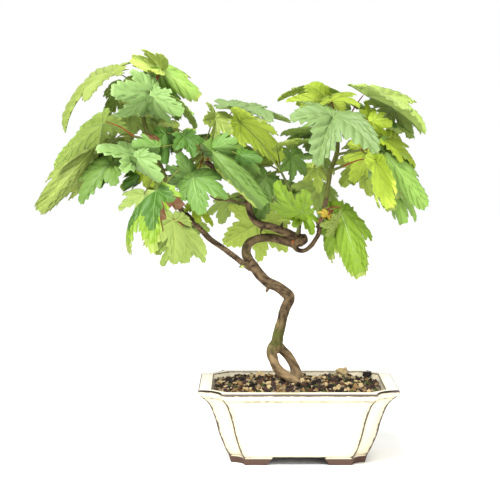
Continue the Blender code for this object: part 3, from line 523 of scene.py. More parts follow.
# Damp fine soil is nearly black between the granules and has no sheen.
damp, tree, shader = new_finish("damp_fired_clay")
place = add_node(tree, "ShaderNodeTexCoord")
crumbs = add_node(
    tree, "ShaderNodeTexVoronoi",
    inputs={"Vector": place.outputs["Object"], "Scale": 1 / (CRUMB_SIZE * MM)},
)
dirt = add_node(
    tree, "ShaderNodeMix", {"data_type": "RGBA"},
    {"Factor": crumbs.outputs["Distance"], "A": hex_colour("#1C140C"), "B": hex_colour("#3E2E1E")},
)
tree.links.new(dirt.outputs["Result"], shader.inputs["Base Color"])
shader.inputs["Roughness"].default_value = 0.95
lumps = add_node(
    tree, "ShaderNodeBump",
    inputs={"Height": crumbs.outputs["Distance"], "Strength": 0.6, "Distance": 0.001},
)
tree.links.new(lumps.outputs["Normal"], shader.inputs["Normal"])
bed.data.materials.append(damp)
print("faces of the bed:", len(faces))

# %% A tree of nodes that scatters one kind of granule
granules = bpy.data.node_groups.new("granules_on_a_bed", "GeometryNodeTree")
for name, kind in (
    ("Bed", "NodeSocketGeometry"), ("Spacing", "NodeSocketFloat"), ("Size", "NodeSocketFloat"),
    ("Length", "NodeSocketFloat"), ("Kinds", "NodeSocketInt"), ("Kind", "NodeSocketInt"),
    ("Seed", "NodeSocketInt"), ("Finish", "NodeSocketMaterial"),
):
    granules.interface.new_socket(name, in_out="INPUT", socket_type=kind)
granules.interface.new_socket("Granules", in_out="OUTPUT", socket_type="NodeSocketGeometry")
given = add_node(granules, "NodeGroupInput").outputs
facing = add_node(granules, "GeometryNodeInputNormal")
up = add_node(granules, "ShaderNodeSeparateXYZ", inputs={0: facing.outputs[0]})
top = add_node(
    granules, "FunctionNodeCompare", {"operation": "GREATER_THAN"}, {"A": up.outputs["Z"], "B": 0.5}
)
spots = add_node(
    granules, "GeometryNodeDistributePointsOnFaces", {"distribute_method": "POISSON"},
    {
        "Mesh": given["Bed"], "Selection": top.outputs[0], "Distance Min": given["Spacing"],
        "Density Max": 400000.0, "Seed": given["Seed"],
    },
)
last_kind = add_node(granules, "ShaderNodeMath", {"operation": "SUBTRACT"}, {0: given["Kinds"], 1: 1.0})
dealt = add_node(
    granules, "FunctionNodeRandomValue", {"data_type": "INT"},
    {"Min": 0, "Max": last_kind.outputs[0], "Seed": given["Seed"]},
)
other = add_node(
    granules, "FunctionNodeCompare", {"data_type": "INT", "operation": "NOT_EQUAL"},
    {"A": dealt.outputs[2], "B": given["Kind"]},
)
mine = add_node(
    granules, "GeometryNodeDeleteGeometry",
    inputs={"Geometry": spots.outputs["Points"], "Selection": other.outputs[0]},
)
corner_seed = add_node(
    granules, "ShaderNodeMath", {"operation": "ADD"}, {0: given["Kind"], 1: given["Seed"]}
)
corner = add_node(
    granules, "FunctionNodeRandomValue", {"data_type": "FLOAT_VECTOR"},
    {"Min": (-1, -1, -1), "Max": (1, 1, 1), "Seed": corner_seed.outputs[0]},
)
round_out = add_node(granules, "ShaderNodeVectorMath", {"operation": "NORMALIZE"}, {0: corner.outputs[0]})
stretch = add_node(granules, "ShaderNodeCombineXYZ", inputs={"X": given["Length"], "Y": 1.0, "Z": 0.8})
shaped = add_node(
    granules, "ShaderNodeVectorMath", {"operation": "MULTIPLY"},
    {0: round_out.outputs[0], 1: stretch.outputs[0]},
)
corners_cloud = add_node(
    granules, "GeometryNodePoints", inputs={"Count": 15, "Position": shaped.outputs[0]}
)
pebble = add_node(granules, "GeometryNodeConvexHull", inputs={"Geometry": corners_cloud.outputs[0]})
turn = add_node(
    granules, "FunctionNodeRandomValue", {"data_type": "FLOAT_VECTOR"},
    {"Min": (0, 0, 0), "Max": (6.28, 6.28, 6.28), "Seed": 7},
)
spread = add_node(
    granules, "FunctionNodeRandomValue", {"data_type": "FLOAT_VECTOR"},
    {"Min": (0.55, 0.6, 0.6), "Max": (1.25, 1.15, 1.1), "Seed": 8},
)
sized = add_node(
    granules, "ShaderNodeVectorMath", {"operation": "SCALE"},
    {0: spread.outputs[0], "Scale": given["Size"]},
)
placed = add_node(
    granules, "GeometryNodeInstanceOnPoints",
    inputs={
        "Points": mine.outputs[0], "Instance": pebble.outputs[0], "Rotation": turn.outputs[0],
        "Scale": sized.outputs[0],
    },
)
real = add_node(granules, "GeometryNodeRealizeInstances", inputs={0: placed.outputs[0]})
flat = add_node(
    granules, "GeometryNodeSetShadeSmooth", inputs={"Geometry": real.outputs[0], "Shade Smooth": False}
)
dressed = add_node(
    granules, "GeometryNodeSetMaterial", inputs={"Geometry": flat.outputs[0], "Material": given["Finish"]}
)
add_node(granules, "NodeGroupOutput", inputs={0: dressed.outputs[0]})
print("nodes in the tree:", len(granules.nodes))

# %% Eight kinds of granule, each dealt its own colour
# Each kind: name, colour, roughness, radius in millimetres, its length as a share of that.
KINDS = (
    ("cream_pumice", "#92805C", 0.9, 3.2, 1.1), ("tan_fired_clay", "#695232", 0.95, 3.1, 1.2),
    ("brown_fired_clay", "#3E2A18", 0.95, 3.0, 1.3), ("purple_lava", "#33241E", 0.9, 3.0, 1.1),
    ("dark_humus", "#140F09", 0.95, 2.8, 1.6), ("mossy_granule", "#33381A", 0.95, 2.6, 1.3),
    ("black_lava", "#1B1612", 0.9, 3.0, 1.2), ("grey_tan_pumice", "#6E614A", 0.9, 3.3, 1.1),
)
# Each layer: the granules' size as a share, their spacing, their way from the wall, a seed.
LAYERS = ((1.0, 4.3, 3.0, 5), (0.55, 2.6, 1.8, 9))
PORE_SIZE = 0.667  # millimetres: a wide pore of pumice
# The granules are dry and porous: matt, with pits that catch the light.
granule_finishes = []
for kind, (name, colour, roughness, radius, length) in enumerate(KINDS):
    finish, tree, shader = new_finish(name)
    shader.inputs["Base Color"].default_value = hex_colour(colour)
    shader.inputs["Specular IOR Level"].default_value = 0.15
    place = add_node(tree, "ShaderNodeTexCoord")
    pores = add_node(
        tree, "ShaderNodeTexNoise",
        inputs={"Vector": place.outputs["Object"], "Scale": 1 / (PORE_SIZE * MM), "Detail": 3.0},
    )
    rough = add_node(
        tree, "ShaderNodeMapRange",
        inputs={"Value": pores.outputs["Fac"], "To Min": roughness - 0.2, "To Max": roughness + 0.05},
    )
    tree.links.new(rough.outputs["Result"], shader.inputs["Roughness"])
    pitted = add_node(
        tree, "ShaderNodeBump",
        inputs={"Height": pores.outputs["Fac"], "Strength": 0.5, "Distance": 0.0005},
    )
    tree.links.new(pitted.outputs["Normal"], shader.inputs["Normal"])
    granule_finishes.append(finish)
    for layer, (share, spacing, from_wall, seed) in enumerate(LAYERS):
        points, faces = lofted(soil_surface(from_wall))
        piece = mesh_piece(f"{name}_{layer}", in_frame(points), faces)
        grow(
            piece, granules, Spacing=spacing * MM, Size=radius * share * MM, Length=length,
            Kinds=len(KINDS), Kind=kind, Seed=seed, Finish=finish,
        )
        hand_over(piece, "soil")
hand_over(bed, "soil", "soil")

# %% A few larger stones on top
# Each stone: middle in millimetres, radius, and which kind's colour it takes.
STONES = (
    ((39.5, 44, 62.5), 5.2, 0), ((-29.6, 27, 62), 4.2, 0), ((60, 40, 61), 3.6, 6),
    ((-2, 38, 61.5), 3.4, 3),
)
STONE_FACETS = (10, 14)
STONE_SQUAT = (1, 1, 0.85)
STONE_ROUGHNESS, STONE_LUMPS, STONE_APART = 0.35, 1.7, 5
for count, (middle, radius, kind) in enumerate(STONES):
    points, faces = ball((0, 0, 0), 1.0, *STONE_FACETS)
    own = Vector((count * STONE_APART, 0, 0))
    lumps = [noise.noise(Vector(spot) * STONE_LUMPS + own) for spot in points]
    swollen = points * (1 + STONE_ROUGHNESS * np.array(lumps))[:, None]
    points = np.array(middle) + swollen * STONE_SQUAT * radius
    stone = mesh_piece(f"stone_{count}", in_frame(points), faces, [granule_finishes[kind]], smooth=False)
    hand_over(stone, "soil")

# %% [markdown]
# ## Trunk and boughs
# The trunk of a young maple stays smooth, with fine wrinkles along it, a swollen knot where
# a branch was cut, and ring scars between one year's growth and the next. Round tubes along
# the model's routes are melted into one skin by a voxel remesh, which rounds the forks, and
# the skin is then pushed in and out by noise that is stretched along each limb.

# %% The limbs' routes: x, y, z and radius
LEG_FRONT = (
    (1, -15.5, 57, 3.8), (-2, -13, 63.5, 3.4), (-7.5, -10, 67, 3.3), (-15, -6, 72, 3.4),
    (-19, -2, 79, 3.5), (-21, 2, 87, 3.9), (-17.5, 4, 94, 3.4),
)
LEG_BACK = (
    (1, 5, 57, 4.6), (0, 6, 64, 4.1), (-1.8, 9.5, 71.5, 3.6), (-7, 10.5, 81, 3.4), (-13, 9, 87.5, 3.5),
    (-16.5, 5, 93, 3.4),
)
TRUNK_FOOT = (
    (-18.5, 4, 86, 3.9), (-17, 3, 92, 4.7), (-15.8, 1, 100, 4.5), (-13, -2, 111, 4.1),
    (-10.8, -5, 121, 4.1), (-6.9, -7.8, 131.5, 4.5),
)
TRUNK_MIDDLE = (
    (-6.9, -7.8, 131.5, 4.5), (-11, -9, 137, 4.3), (-17, -9, 141, 4.2), (-24.5, -8, 144.5, 4.1),
    (-30.5, -6, 150, 4.1), (-35.5, -3, 156.5, 4.0), (-39.5, 0, 162, 3.9), (-42, 2, 168, 3.7),
)
TRUNK_ARCH = (
    (-42, 2, 168, 3.7), (-40.3, 4, 174, 3.5), (-35.5, 5, 177.5, 3.3), (-28.5, 6, 179.3, 3.2),
    (-19.5, 6, 179.2, 3.3), (-12, 5, 177.2, 3.5), (-3.5, 4, 175.6, 4.0), (3.5, 3, 177, 4.3),
)
BOUGH_RETURN = (
    (1, 3, 179, 3.6), (-6, 1, 182.5, 3.4), (-14, -2, 186, 3.2), (-22, -4, 189.3, 3.0), (-30, -6, 191, 2.9),
)
BOUGH_CENTRE = (
    (-30, -6, 191, 2.9), (-35, -6, 194.5, 2.7), (-39, -5, 202, 2.6), (-40.8, -3, 212, 2.6),
    (-46, 1, 220, 2.6), (-53, 4, 227, 2.6), (-64, 6, 234, 2.4), (-75, 6, 241.5, 2.2),
)
BOUGH_LEFT_LOWER = (
    (-38, -1, 155, 2.7), (-44.5, -5, 159.7, 2.4), (-60, -9, 172, 2.1), (-72, -12, 181, 2.1),
    (-85, -14, 195, 2.1), (-96, -14, 206, 2.2),
)
BOUGH_LEFT_UPPER = (
    (-96, -14, 206, 2.0), (-102, -12, 216, 1.8), (-105.5, -10, 224, 1.8), (-110.5, -6, 239, 1.7),
    (-116, -3, 253, 1.7), (-121.5, 0, 265, 1.7), (-126, 3, 280, 1.8),
)
BOUGH_RIGHT_LOWER = (
    (-3, 3, 174.5, 2.5), (0, 0, 170, 1.9), (5, -2, 169.5, 1.7), (10, -4, 173, 1.7), (14, -6, 178.5, 1.8),
    (17, -7, 185, 1.9), (19, -7, 194, 1.8), (21.3, -6, 204.5, 1.8), (23, -5, 212, 2.0),
)
BOUGH_RIGHT_UPPER = (
    (23, -5, 212, 2.0), (24.5, -4, 223.5, 1.9), (26, -3, 233.5, 1.9), (31.3, 2, 247, 1.8),
    (32.8, 6, 259, 1.6), (31.5, 8, 271, 1.5), (29, 8, 283, 1.4),
)
TWIG_DEAD = (
    (-40.5, -4, 208, 1.0), (-50, -8, 209.7, 0.8), (-58, -11, 211, 0.8), (-65, -14, 211.5, 0.7),
    (-71, -17, 215, 0.6),
)
# Stubs and cut twigs, from inside the limb out.
STUBS = (
    ((-23, -8, 143, 2.0), (-25.2, -9, 137.5, 1.1), (-26, -9, 136.6, 0.7)),
    ((-35, -3, 157, 2.2), (-37.5, -5, 161.5, 1.2), (-38, -5.5, 162.3, 0.8)),
    ((-41, -3, 158, 1.8), (-46.5, -5.5, 156.6, 0.9), (-47.4, -5.7, 156.3, 0.6)),
    ((-27, -5, 190.5, 1.6), (-30, -9, 186, 0.9), (-29.5, -9.5, 182.5, 0.6)),
    ((-14, -1, 186, 1.6), (-13, -3, 190, 1.1), (-12.4, -4, 192.6, 0.7)),
    ((0, 2, 180, 2.0), (1.5, 0, 186, 1.2), (2.0, 0, 190, 0.9)),
    ((-42, -3, 214, 1.4), (-47.5, -7, 213.5, 0.9), (-50, -8, 213, 0.6)),
)
KNOTS = (
    ((3.2, 2.4, 178.3), 5.2), ((-1.5, 2.6, 177.6), 4.9), ((-17.5, 3, 92.5), 4.9),
    ((-38.5, -0.5, 158.5), 4.4),
)
LEG_SWELL = 1.12  # the remesh takes more off the thin legs
LEGS = [[(*row[:3], LEG_SWELL * row[3]) for row in leg] for leg in (LEG_FRONT, LEG_BACK)]
OLD_WOOD = (
    *LEGS, TRUNK_FOOT + TRUNK_MIDDLE[1:] + TRUNK_ARCH[1:], BOUGH_RETURN + BOUGH_CENTRE[1:],
    BOUGH_LEFT_LOWER, BOUGH_RIGHT_LOWER, TWIG_DEAD, *STUBS,
)
YOUNG_WOOD = (BOUGH_LEFT_UPPER, BOUGH_RIGHT_UPPER)
print("limbs:", len(OLD_WOOD) + len(YOUNG_WOOD))

# %% Melt the tubes into one skin
LIMB_SIDES, LIMB_STEPS = 20, 8
KNOT_FACETS = (12, 20)
VOXEL = 0.42  # millimetres
REGAIN = 0.2  # millimetres, which the smoothing and the wrinkles take off
FAR_ALONG = 400  # keeps the noise of one limb apart from the next one's
WRINKLE_DEPTH, LUMP_DEPTH, RING_DEPTH = 0.38, 0.45, 0.18  # millimetres


def tube(route, sides):
    """A closed tapering tube along a route of x, y, z and radius."""
    directions = np.gradient(route[:, :3], axis=0)
    across = unit(np.cross(directions[0], (0.31, 0.95, 0.05)))
    turns = np.arange(sides) * 2 * math.pi / sides
    rings = []
    for (x, y, z, radius), direction in zip(route, directions):
        direction = unit(direction)
        across = unit(across - direction * across.dot(direction))
        other = np.cross(direction, across)
        circle = np.outer(np.cos(turns), across) + np.outer(np.sin(turns), other)
        rings.append((x, y, z) + radius * circle)
    return lofted(rings)


def join_shapes(shapes):
    """Several shapes' points and faces as one shape's."""
    points, faces, count = [], [], 0
    for shape_points, shape_faces in shapes:
        points.append(np.asarray(shape_points))
        faces += [tuple(i + count for i in face) for face in shape_faces]
        count += len(shape_points)
    return np.vstack(points), faces


def noise_along(along, off, scale, stretched, seed):
    """Noise stretched along the limb, from each point's way along it and its place across it."""
    spots = off / scale + np.outer(along / stretched, (0.48, 0.64, 0.6)) + seed
    return np.array([noise.noise(spot) for spot in spots.tolist()])


def skin(name, routes, balls, finish):
    """The limbs as one skin with its bark's relief, from routes in millimetres."""
    fine = [smooth_route(rows, LIMB_STEPS) for rows in routes]
    knots = [ball(*row, *KNOT_FACETS) for row in balls]
    shape = join_shapes([tube(route, LIMB_SIDES) for route in fine] + knots)
    piece = mesh_piece(name, in_frame(shape[0]), shape[1])
    melt = piece.modifiers.new("melt", "REMESH")
    melt.mode = "VOXEL"
    melt.voxel_size = VOXEL * MM
    soften = piece.modifiers.new("soften", "SMOOTH")
    soften.factor = 0.5
    soften.iterations = 5
    plain_mesh(piece)
    mesh = piece.data
    mesh.materials.clear()
    mesh.materials.append(finish)
    mesh.polygons.foreach_set("use_smooth", [True] * len(mesh.polygons))
    count = len(mesh.vertices)
    places = np.zeros(count * 3)
    mesh.vertices.foreach_get("co", places)
    places = (places.reshape(-1, 3) - POT_MIDDLE) / MM
    normals = np.zeros(count * 3)
    mesh.vertex_normals.foreach_get("vector", normals)
    normals = normals.reshape(-1, 3)
    samples, ways, start = [], [], 0.0
    for route in fine:
        steps = np.linalg.norm(np.diff(route[:, :3], axis=0), axis=1)
        samples.append(route[:, :3])
        ways.append(start + np.concatenate([[0], np.cumsum(steps)]))
        start += FAR_ALONG
    samples, ways = np.vstack(samples), np.concatenate(ways)
    finder = KDTree(len(samples))
    for i, sample in enumerate(samples):
        finder.insert(sample, i)
    finder.balance()
    nearest = np.array([finder.find(place)[1] for place in places])
    off = places - samples[nearest]
    along = ways[nearest]
    wrinkles = -np.abs(noise_along(along, off, 1.0, 7.0, 3.0))
    lumps = noise_along(along, off, 3.0, 6.0, 11.0)
    rings = -np.abs(noise_along(along, off, 6.0, 1.3, 23.0))
    push = WRINKLE_DEPTH * wrinkles + LUMP_DEPTH * lumps + RING_DEPTH * rings + REGAIN
    return piece, places, normals, push


print("side of a voxel in millimetres:", VOXEL)

# %% [markdown]
# ## Bark
# The bark is thin and grey-brown, darker where it is damp, with a film of green algae low on
# the trunk. This year's and last year's shoots still have green bark. The depth of the relief
# goes on each point, and the colour follows it as painted shade in the wrinkles and a painted
# highlight on the ridges.

# %% Bark that follows its own relief
# Millimetres: a stain, and a cork fleck, drawn coarser than the real ones so that it shows.
STAIN_SIZE, FLECK_SIZE = 4.55, 0.714


def bark_finish(name, light, dark, algae):
    """Thin bark: a painted highlight on its ridges, painted shade in its wrinkles, an algae's green film."""
    finish, tree, shader = new_finish(name)
    shader.inputs["Specular IOR Level"].default_value = 0.2
    place = add_node(tree, "ShaderNodeTexCoord")
    depth = add_node(tree, "ShaderNodeAttribute", {"attribute_name": "relief"})
    green = add_node(tree, "ShaderNodeAttribute", {"attribute_name": "algae"})
    stains = add_node(
        tree, "ShaderNodeTexNoise",
        inputs={"Vector": place.outputs["Object"], "Scale": 1 / (STAIN_SIZE * MM), "Detail": 4.0},
    )
    flecks = add_node(
        tree, "ShaderNodeTexNoise",
        inputs={"Vector": place.outputs["Object"], "Scale": 1 / (FLECK_SIZE * MM), "Detail": 3.0},
    )
    # Painted shade and highlight: the relief's tone darkens the wrinkles and lightens the ridges, added to
    # the stains.
    stains_and_painted_shade = add_node(
        tree, "ShaderNodeMath", {"operation": "MULTIPLY_ADD"},
        {0: stains.outputs["Fac"], 1: 0.6, 2: depth.outputs["Fac"]},
    )
    wood = add_node(
        tree, "ShaderNodeMix", {"data_type": "RGBA"},
        {"Factor": stains_and_painted_shade.outputs[0], "A": hex_colour(light), "B": hex_colour(dark)},
    )
    film = add_node(
        tree, "ShaderNodeMath", {"operation": "MULTIPLY", "use_clamp": True},
        {0: green.outputs["Fac"], 1: stains.outputs["Fac"]},
    )
    filmed = add_node(
        tree, "ShaderNodeMix", {"data_type": "RGBA"},
        {"Factor": film.outputs[0], "A": wood.outputs["Result"], "B": hex_colour(algae)},
    )
    tree.links.new(filmed.outputs["Result"], shader.inputs["Base Color"])
    rough = add_node(
        tree, "ShaderNodeMapRange", inputs={"Value": flecks.outputs["Fac"], "To Min": 0.7, "To Max": 0.95}
    )
    tree.links.new(rough.outputs["Result"], shader.inputs["Roughness"])
    fine = add_node(
        tree, "ShaderNodeBump", inputs={"Height": flecks.outputs["Fac"], "Strength": 0.5, "Distance": 0.0004}
    )
    tree.links.new(fine.outputs["Normal"], shader.inputs["Normal"])
    return finish


print("stains and flecks in millimetres:", STAIN_SIZE, FLECK_SIZE)

# %% Skin the old wood and the young
DRY_BELOW = 92  # millimetres: the two legs are paler than the wood above the fork
# How much the relief's depth darkens the wrinkles and lightens the ridges: painted shade and a painted
# highlight.
MIDDLE_TONE, PAINTED_SHADE_BY_DEPTH, DRY_PALER = 0.38, 0.85, 0.24
FOOT_SUNK_TO = 2  # millimetres above the soil's edge, inside the mound
# Pale scars and films of algae: middle, reach in millimetres, strength.
SCARS = (
    ((-15, -6, 110), 3.2, 0.6), ((-17, -5, 92), 2.5, 0.4), ((-60, -4, 178), 2.5, 0.4),
    ((-1, -5, 176), 3, 0.3),
)
ALGAE = (
    ((-16.5, -3, 97), 9, 1.6), ((-16, 2, 108), 8, 0.5), ((-30, 4, 179), 8, 0.35),
    ((-42, 0, 168), 7, 0.35),
)


def near(places, patches):
    """The strength of round patches at places, fading out from each one's middle."""
    total = np.zeros(len(places))
    for centre, reach, strength in patches:
        distance = np.linalg.norm(places - np.array(centre), axis=1)
        total += strength * np.exp(-((distance / reach) ** 2))
    return total


for name, slot, routes, balls, nodes, finish, base_green in (
    (
        "trunk_and_boughs", "bark", OLD_WOOD, KNOTS,
        (
            "trunk_foot", "trunk_middle", "trunk_arch", "bough_return", "bough_centre",
            "bough_left_lower", "bough_right_lower", "twig_dead",
        ),
        bark_finish("grey_brown_maple_bark", "#86704F", "#1E1208", "#454C1B"), 0.0,
    ),
    (
        "young_boughs", "green_bark", YOUNG_WOOD, (), ("bough_left_upper", "bough_right_upper"),
        bark_finish("green_young_bark", "#74743C", "#3A3418", "#4C561C"), 0.9,
    ),
):
    piece, places, normals, push = skin(name, routes, balls, finish)
    algae = base_green + near(places, ALGAE)
    dry = DRY_PALER * (places[:, 2] < DRY_BELOW)
    # Painted shade: the tone darkens in the wrinkles and lightens on the ridges. The paler dry legs and the
    # scars are the bark's own colour.
    tone = MIDDLE_TONE - (push - REGAIN) * PAINTED_SHADE_BY_DEPTH - dry - near(places, SCARS)
    moved = places + normals * push[:, None]
    moved[:, 2] = np.maximum(moved[:, 2], SOIL_EDGE + FOOT_SUNK_TO)
    piece.data.vertices.foreach_set("co", in_frame(moved).ravel())
    for label, values in (("relief", tone), ("algae", algae)):
        attribute = piece.data.attributes.new(label, "FLOAT", "POINT")
        attribute.data.foreach_set("value", values.astype(np.float32))
    piece.data.update()
    hand_over(piece, slot, *nodes)

# %% [markdown]
# ## The rule for a leaf
# A sycamore maple's leaf has five lobes round the point where its stalk joins. It hangs from
# a stiff midrib that bows down, and its two halves droop and fold along it. The rule bends a
# flat outline over that midrib, so one row of numbers sets a leaf: its stalk point, its tip,
# the way its upper side looks, its curl, and how long each lobe is.

# %% The curled blade
# Marks on the flat leaf: degrees from its midrib, and a share of its length.
LOBE_TIPS = ((0, 1.0), (54, 0.96), (108, 0.74))
NOTCHES = ((27, 0.62), (81, 0.56))
SHOULDERS = ((-13, 0.83), (0, 1.0), (13, 0.83))
POINTED = ((0, 1.0),)
WIDE_LOBES = 100
LEAF_BACK = (146, 0.38)
LEAF_FOOT = (180, 0.12)
STEM_RADIUS, PETIOLE_RADIUS, PETIOLE_RISE = 1.3, 0.65, 0.07
# A hidden leaf keeps this far off limbs and leaves. From the front, at least this share of it
# lies within HIDE_WITHIN of a leaf that shows.
CLEAR_OF_LIMBS, CLEAR_OF_LEAVES, HIDE_WITHIN, HIDDEN_SHARE = 2.0, 3.0, 8.0, 0.82
# The reach of its stalk, how far it lies behind its place on the stem, and how many tries.
STALKS, BEHIND, TRIES = (12, 54), 4, 1500


def leaf(at, tip, face, curl=(30, 20, 12), lobes=(1, 1, 1, 1), look="mid", shoulders=SHOULDERS):
    """One leaf. Its curl is in degrees along the midrib, down at the sides, and up from the
    midrib's crease. Its lobes are shares of a common leaf's, from one side to the other."""
    row = {"at": at, "tip": tip, "face": face, "lobes": lobes, "look": look, "shoulders": shoulders}
    row["bend"], row["cup"], row["fold"] = curl
    return row


def blade_frame(row):
    """The stalk point, three directions and the length that put the curled tip in its place."""
    chord = np.array(row["tip"], float)
    along = unit(chord)
    face = np.array(row["face"], float)
    face = unit(face - along * face.dot(along))
    half = math.radians(row["bend"]) / 2
    mid = along * math.cos(half) + face * math.sin(half)
    normal = face * math.cos(half) - along * math.sin(half)
    length = np.linalg.norm(chord) * half / math.sin(half)
    return np.array(row["at"], float), np.cross(mid, normal), mid, normal, length


def blade_points(row, marks, lift=0.0):
    """Points of the curled blade at marks of degrees and reach, lifted in millimetres."""
    origin, side, mid, normal, length = blade_frame(row)
    marks = np.array(marks, float)
    turns = np.radians(marks[:, 0])
    across = marks[:, 1] * np.sin(turns)
    along = marks[:, 1] * np.cos(turns)
    bend, cup, fold = (math.radians(row[key]) for key in ("bend", "cup", "fold"))
    lean = fold - cup * np.abs(across)
    out_flat = (math.sin(fold) - np.sin(lean)) / cup
    out_rise = (np.cos(lean) - math.cos(fold)) / cup
    places = (
        np.outer(np.copysign(out_flat, across), side)
        + np.outer(np.sin(bend * along) / bend, mid)
        + np.outer(out_rise + (np.cos(bend * along) - 1) / bend, normal)
    )
    sides = np.sign(np.round(across, 6))
    local = (
        np.outer(-sides * np.sin(lean), side)
        + np.outer(np.sin(bend * along), mid)
        + np.outer(np.where(sides == 0, 1, np.cos(lean)), normal)
    )
    local /= np.linalg.norm(local, axis=1)[:, None]
    crease = np.where(sides == 0, 1 / math.cos(fold), 1)
    return origin + length * places + local * (crease * lift)[:, None]


def lobe_marks(row):
    """The five lobes' tips from one side round to the other, as degrees and reach."""
    shares = row["lobes"]
    marks = [LOBE_TIPS[0]]
    for sign, pair in ((-1, (shares[0], shares[1])), (1, (shares[3], shares[2]))):
        for (degrees, reach), share in zip((LOBE_TIPS[2], LOBE_TIPS[1]), pair):
            marks.append((sign * degrees, reach * share))
    return sorted(marks)


def blade_outline(row):
    """The model's plain outline, from the stalk round by the side of the positive angles."""
    tips = lobe_marks(row)
    shares = list(row["lobes"][:2]) + [1] + list(row["lobes"][2:])
    outline = [(-LEAF_BACK[0], LEAF_BACK[1] * shares[0])]
    for i, (degrees, reach) in enumerate(tips):
        if i:
            notch = NOTCHES[0] if abs(degrees + tips[i - 1][0]) < 80 else NOTCHES[1]
            middle = (degrees + tips[i - 1][0]) / 2
            outline.append((middle, notch[1] * (shares[i] + shares[i - 1]) / 2))
        shoulders = POINTED if abs(degrees) > WIDE_LOBES else row["shoulders"]
        outline += [(degrees + turn, reach * share) for turn, share in shoulders]
    outline.append((LEAF_BACK[0], LEAF_BACK[1] * shares[4]))
    return [LEAF_FOOT] + outline[::-1]


print("points of a plain outline:", len(blade_outline(leaf((0, 0, 0), (0, -1, 0), (0, 0, 1)))))

# %% [markdown]
# ## The shoots
# Each shoot is a green stem on a bough with its own leaves. The leaves that show from the
# front are set one by one. Behind them a seeded rule tries places in the shoot's own space,
# and keeps a leaf only where it has room and doesn't close a gap that shows the sky.

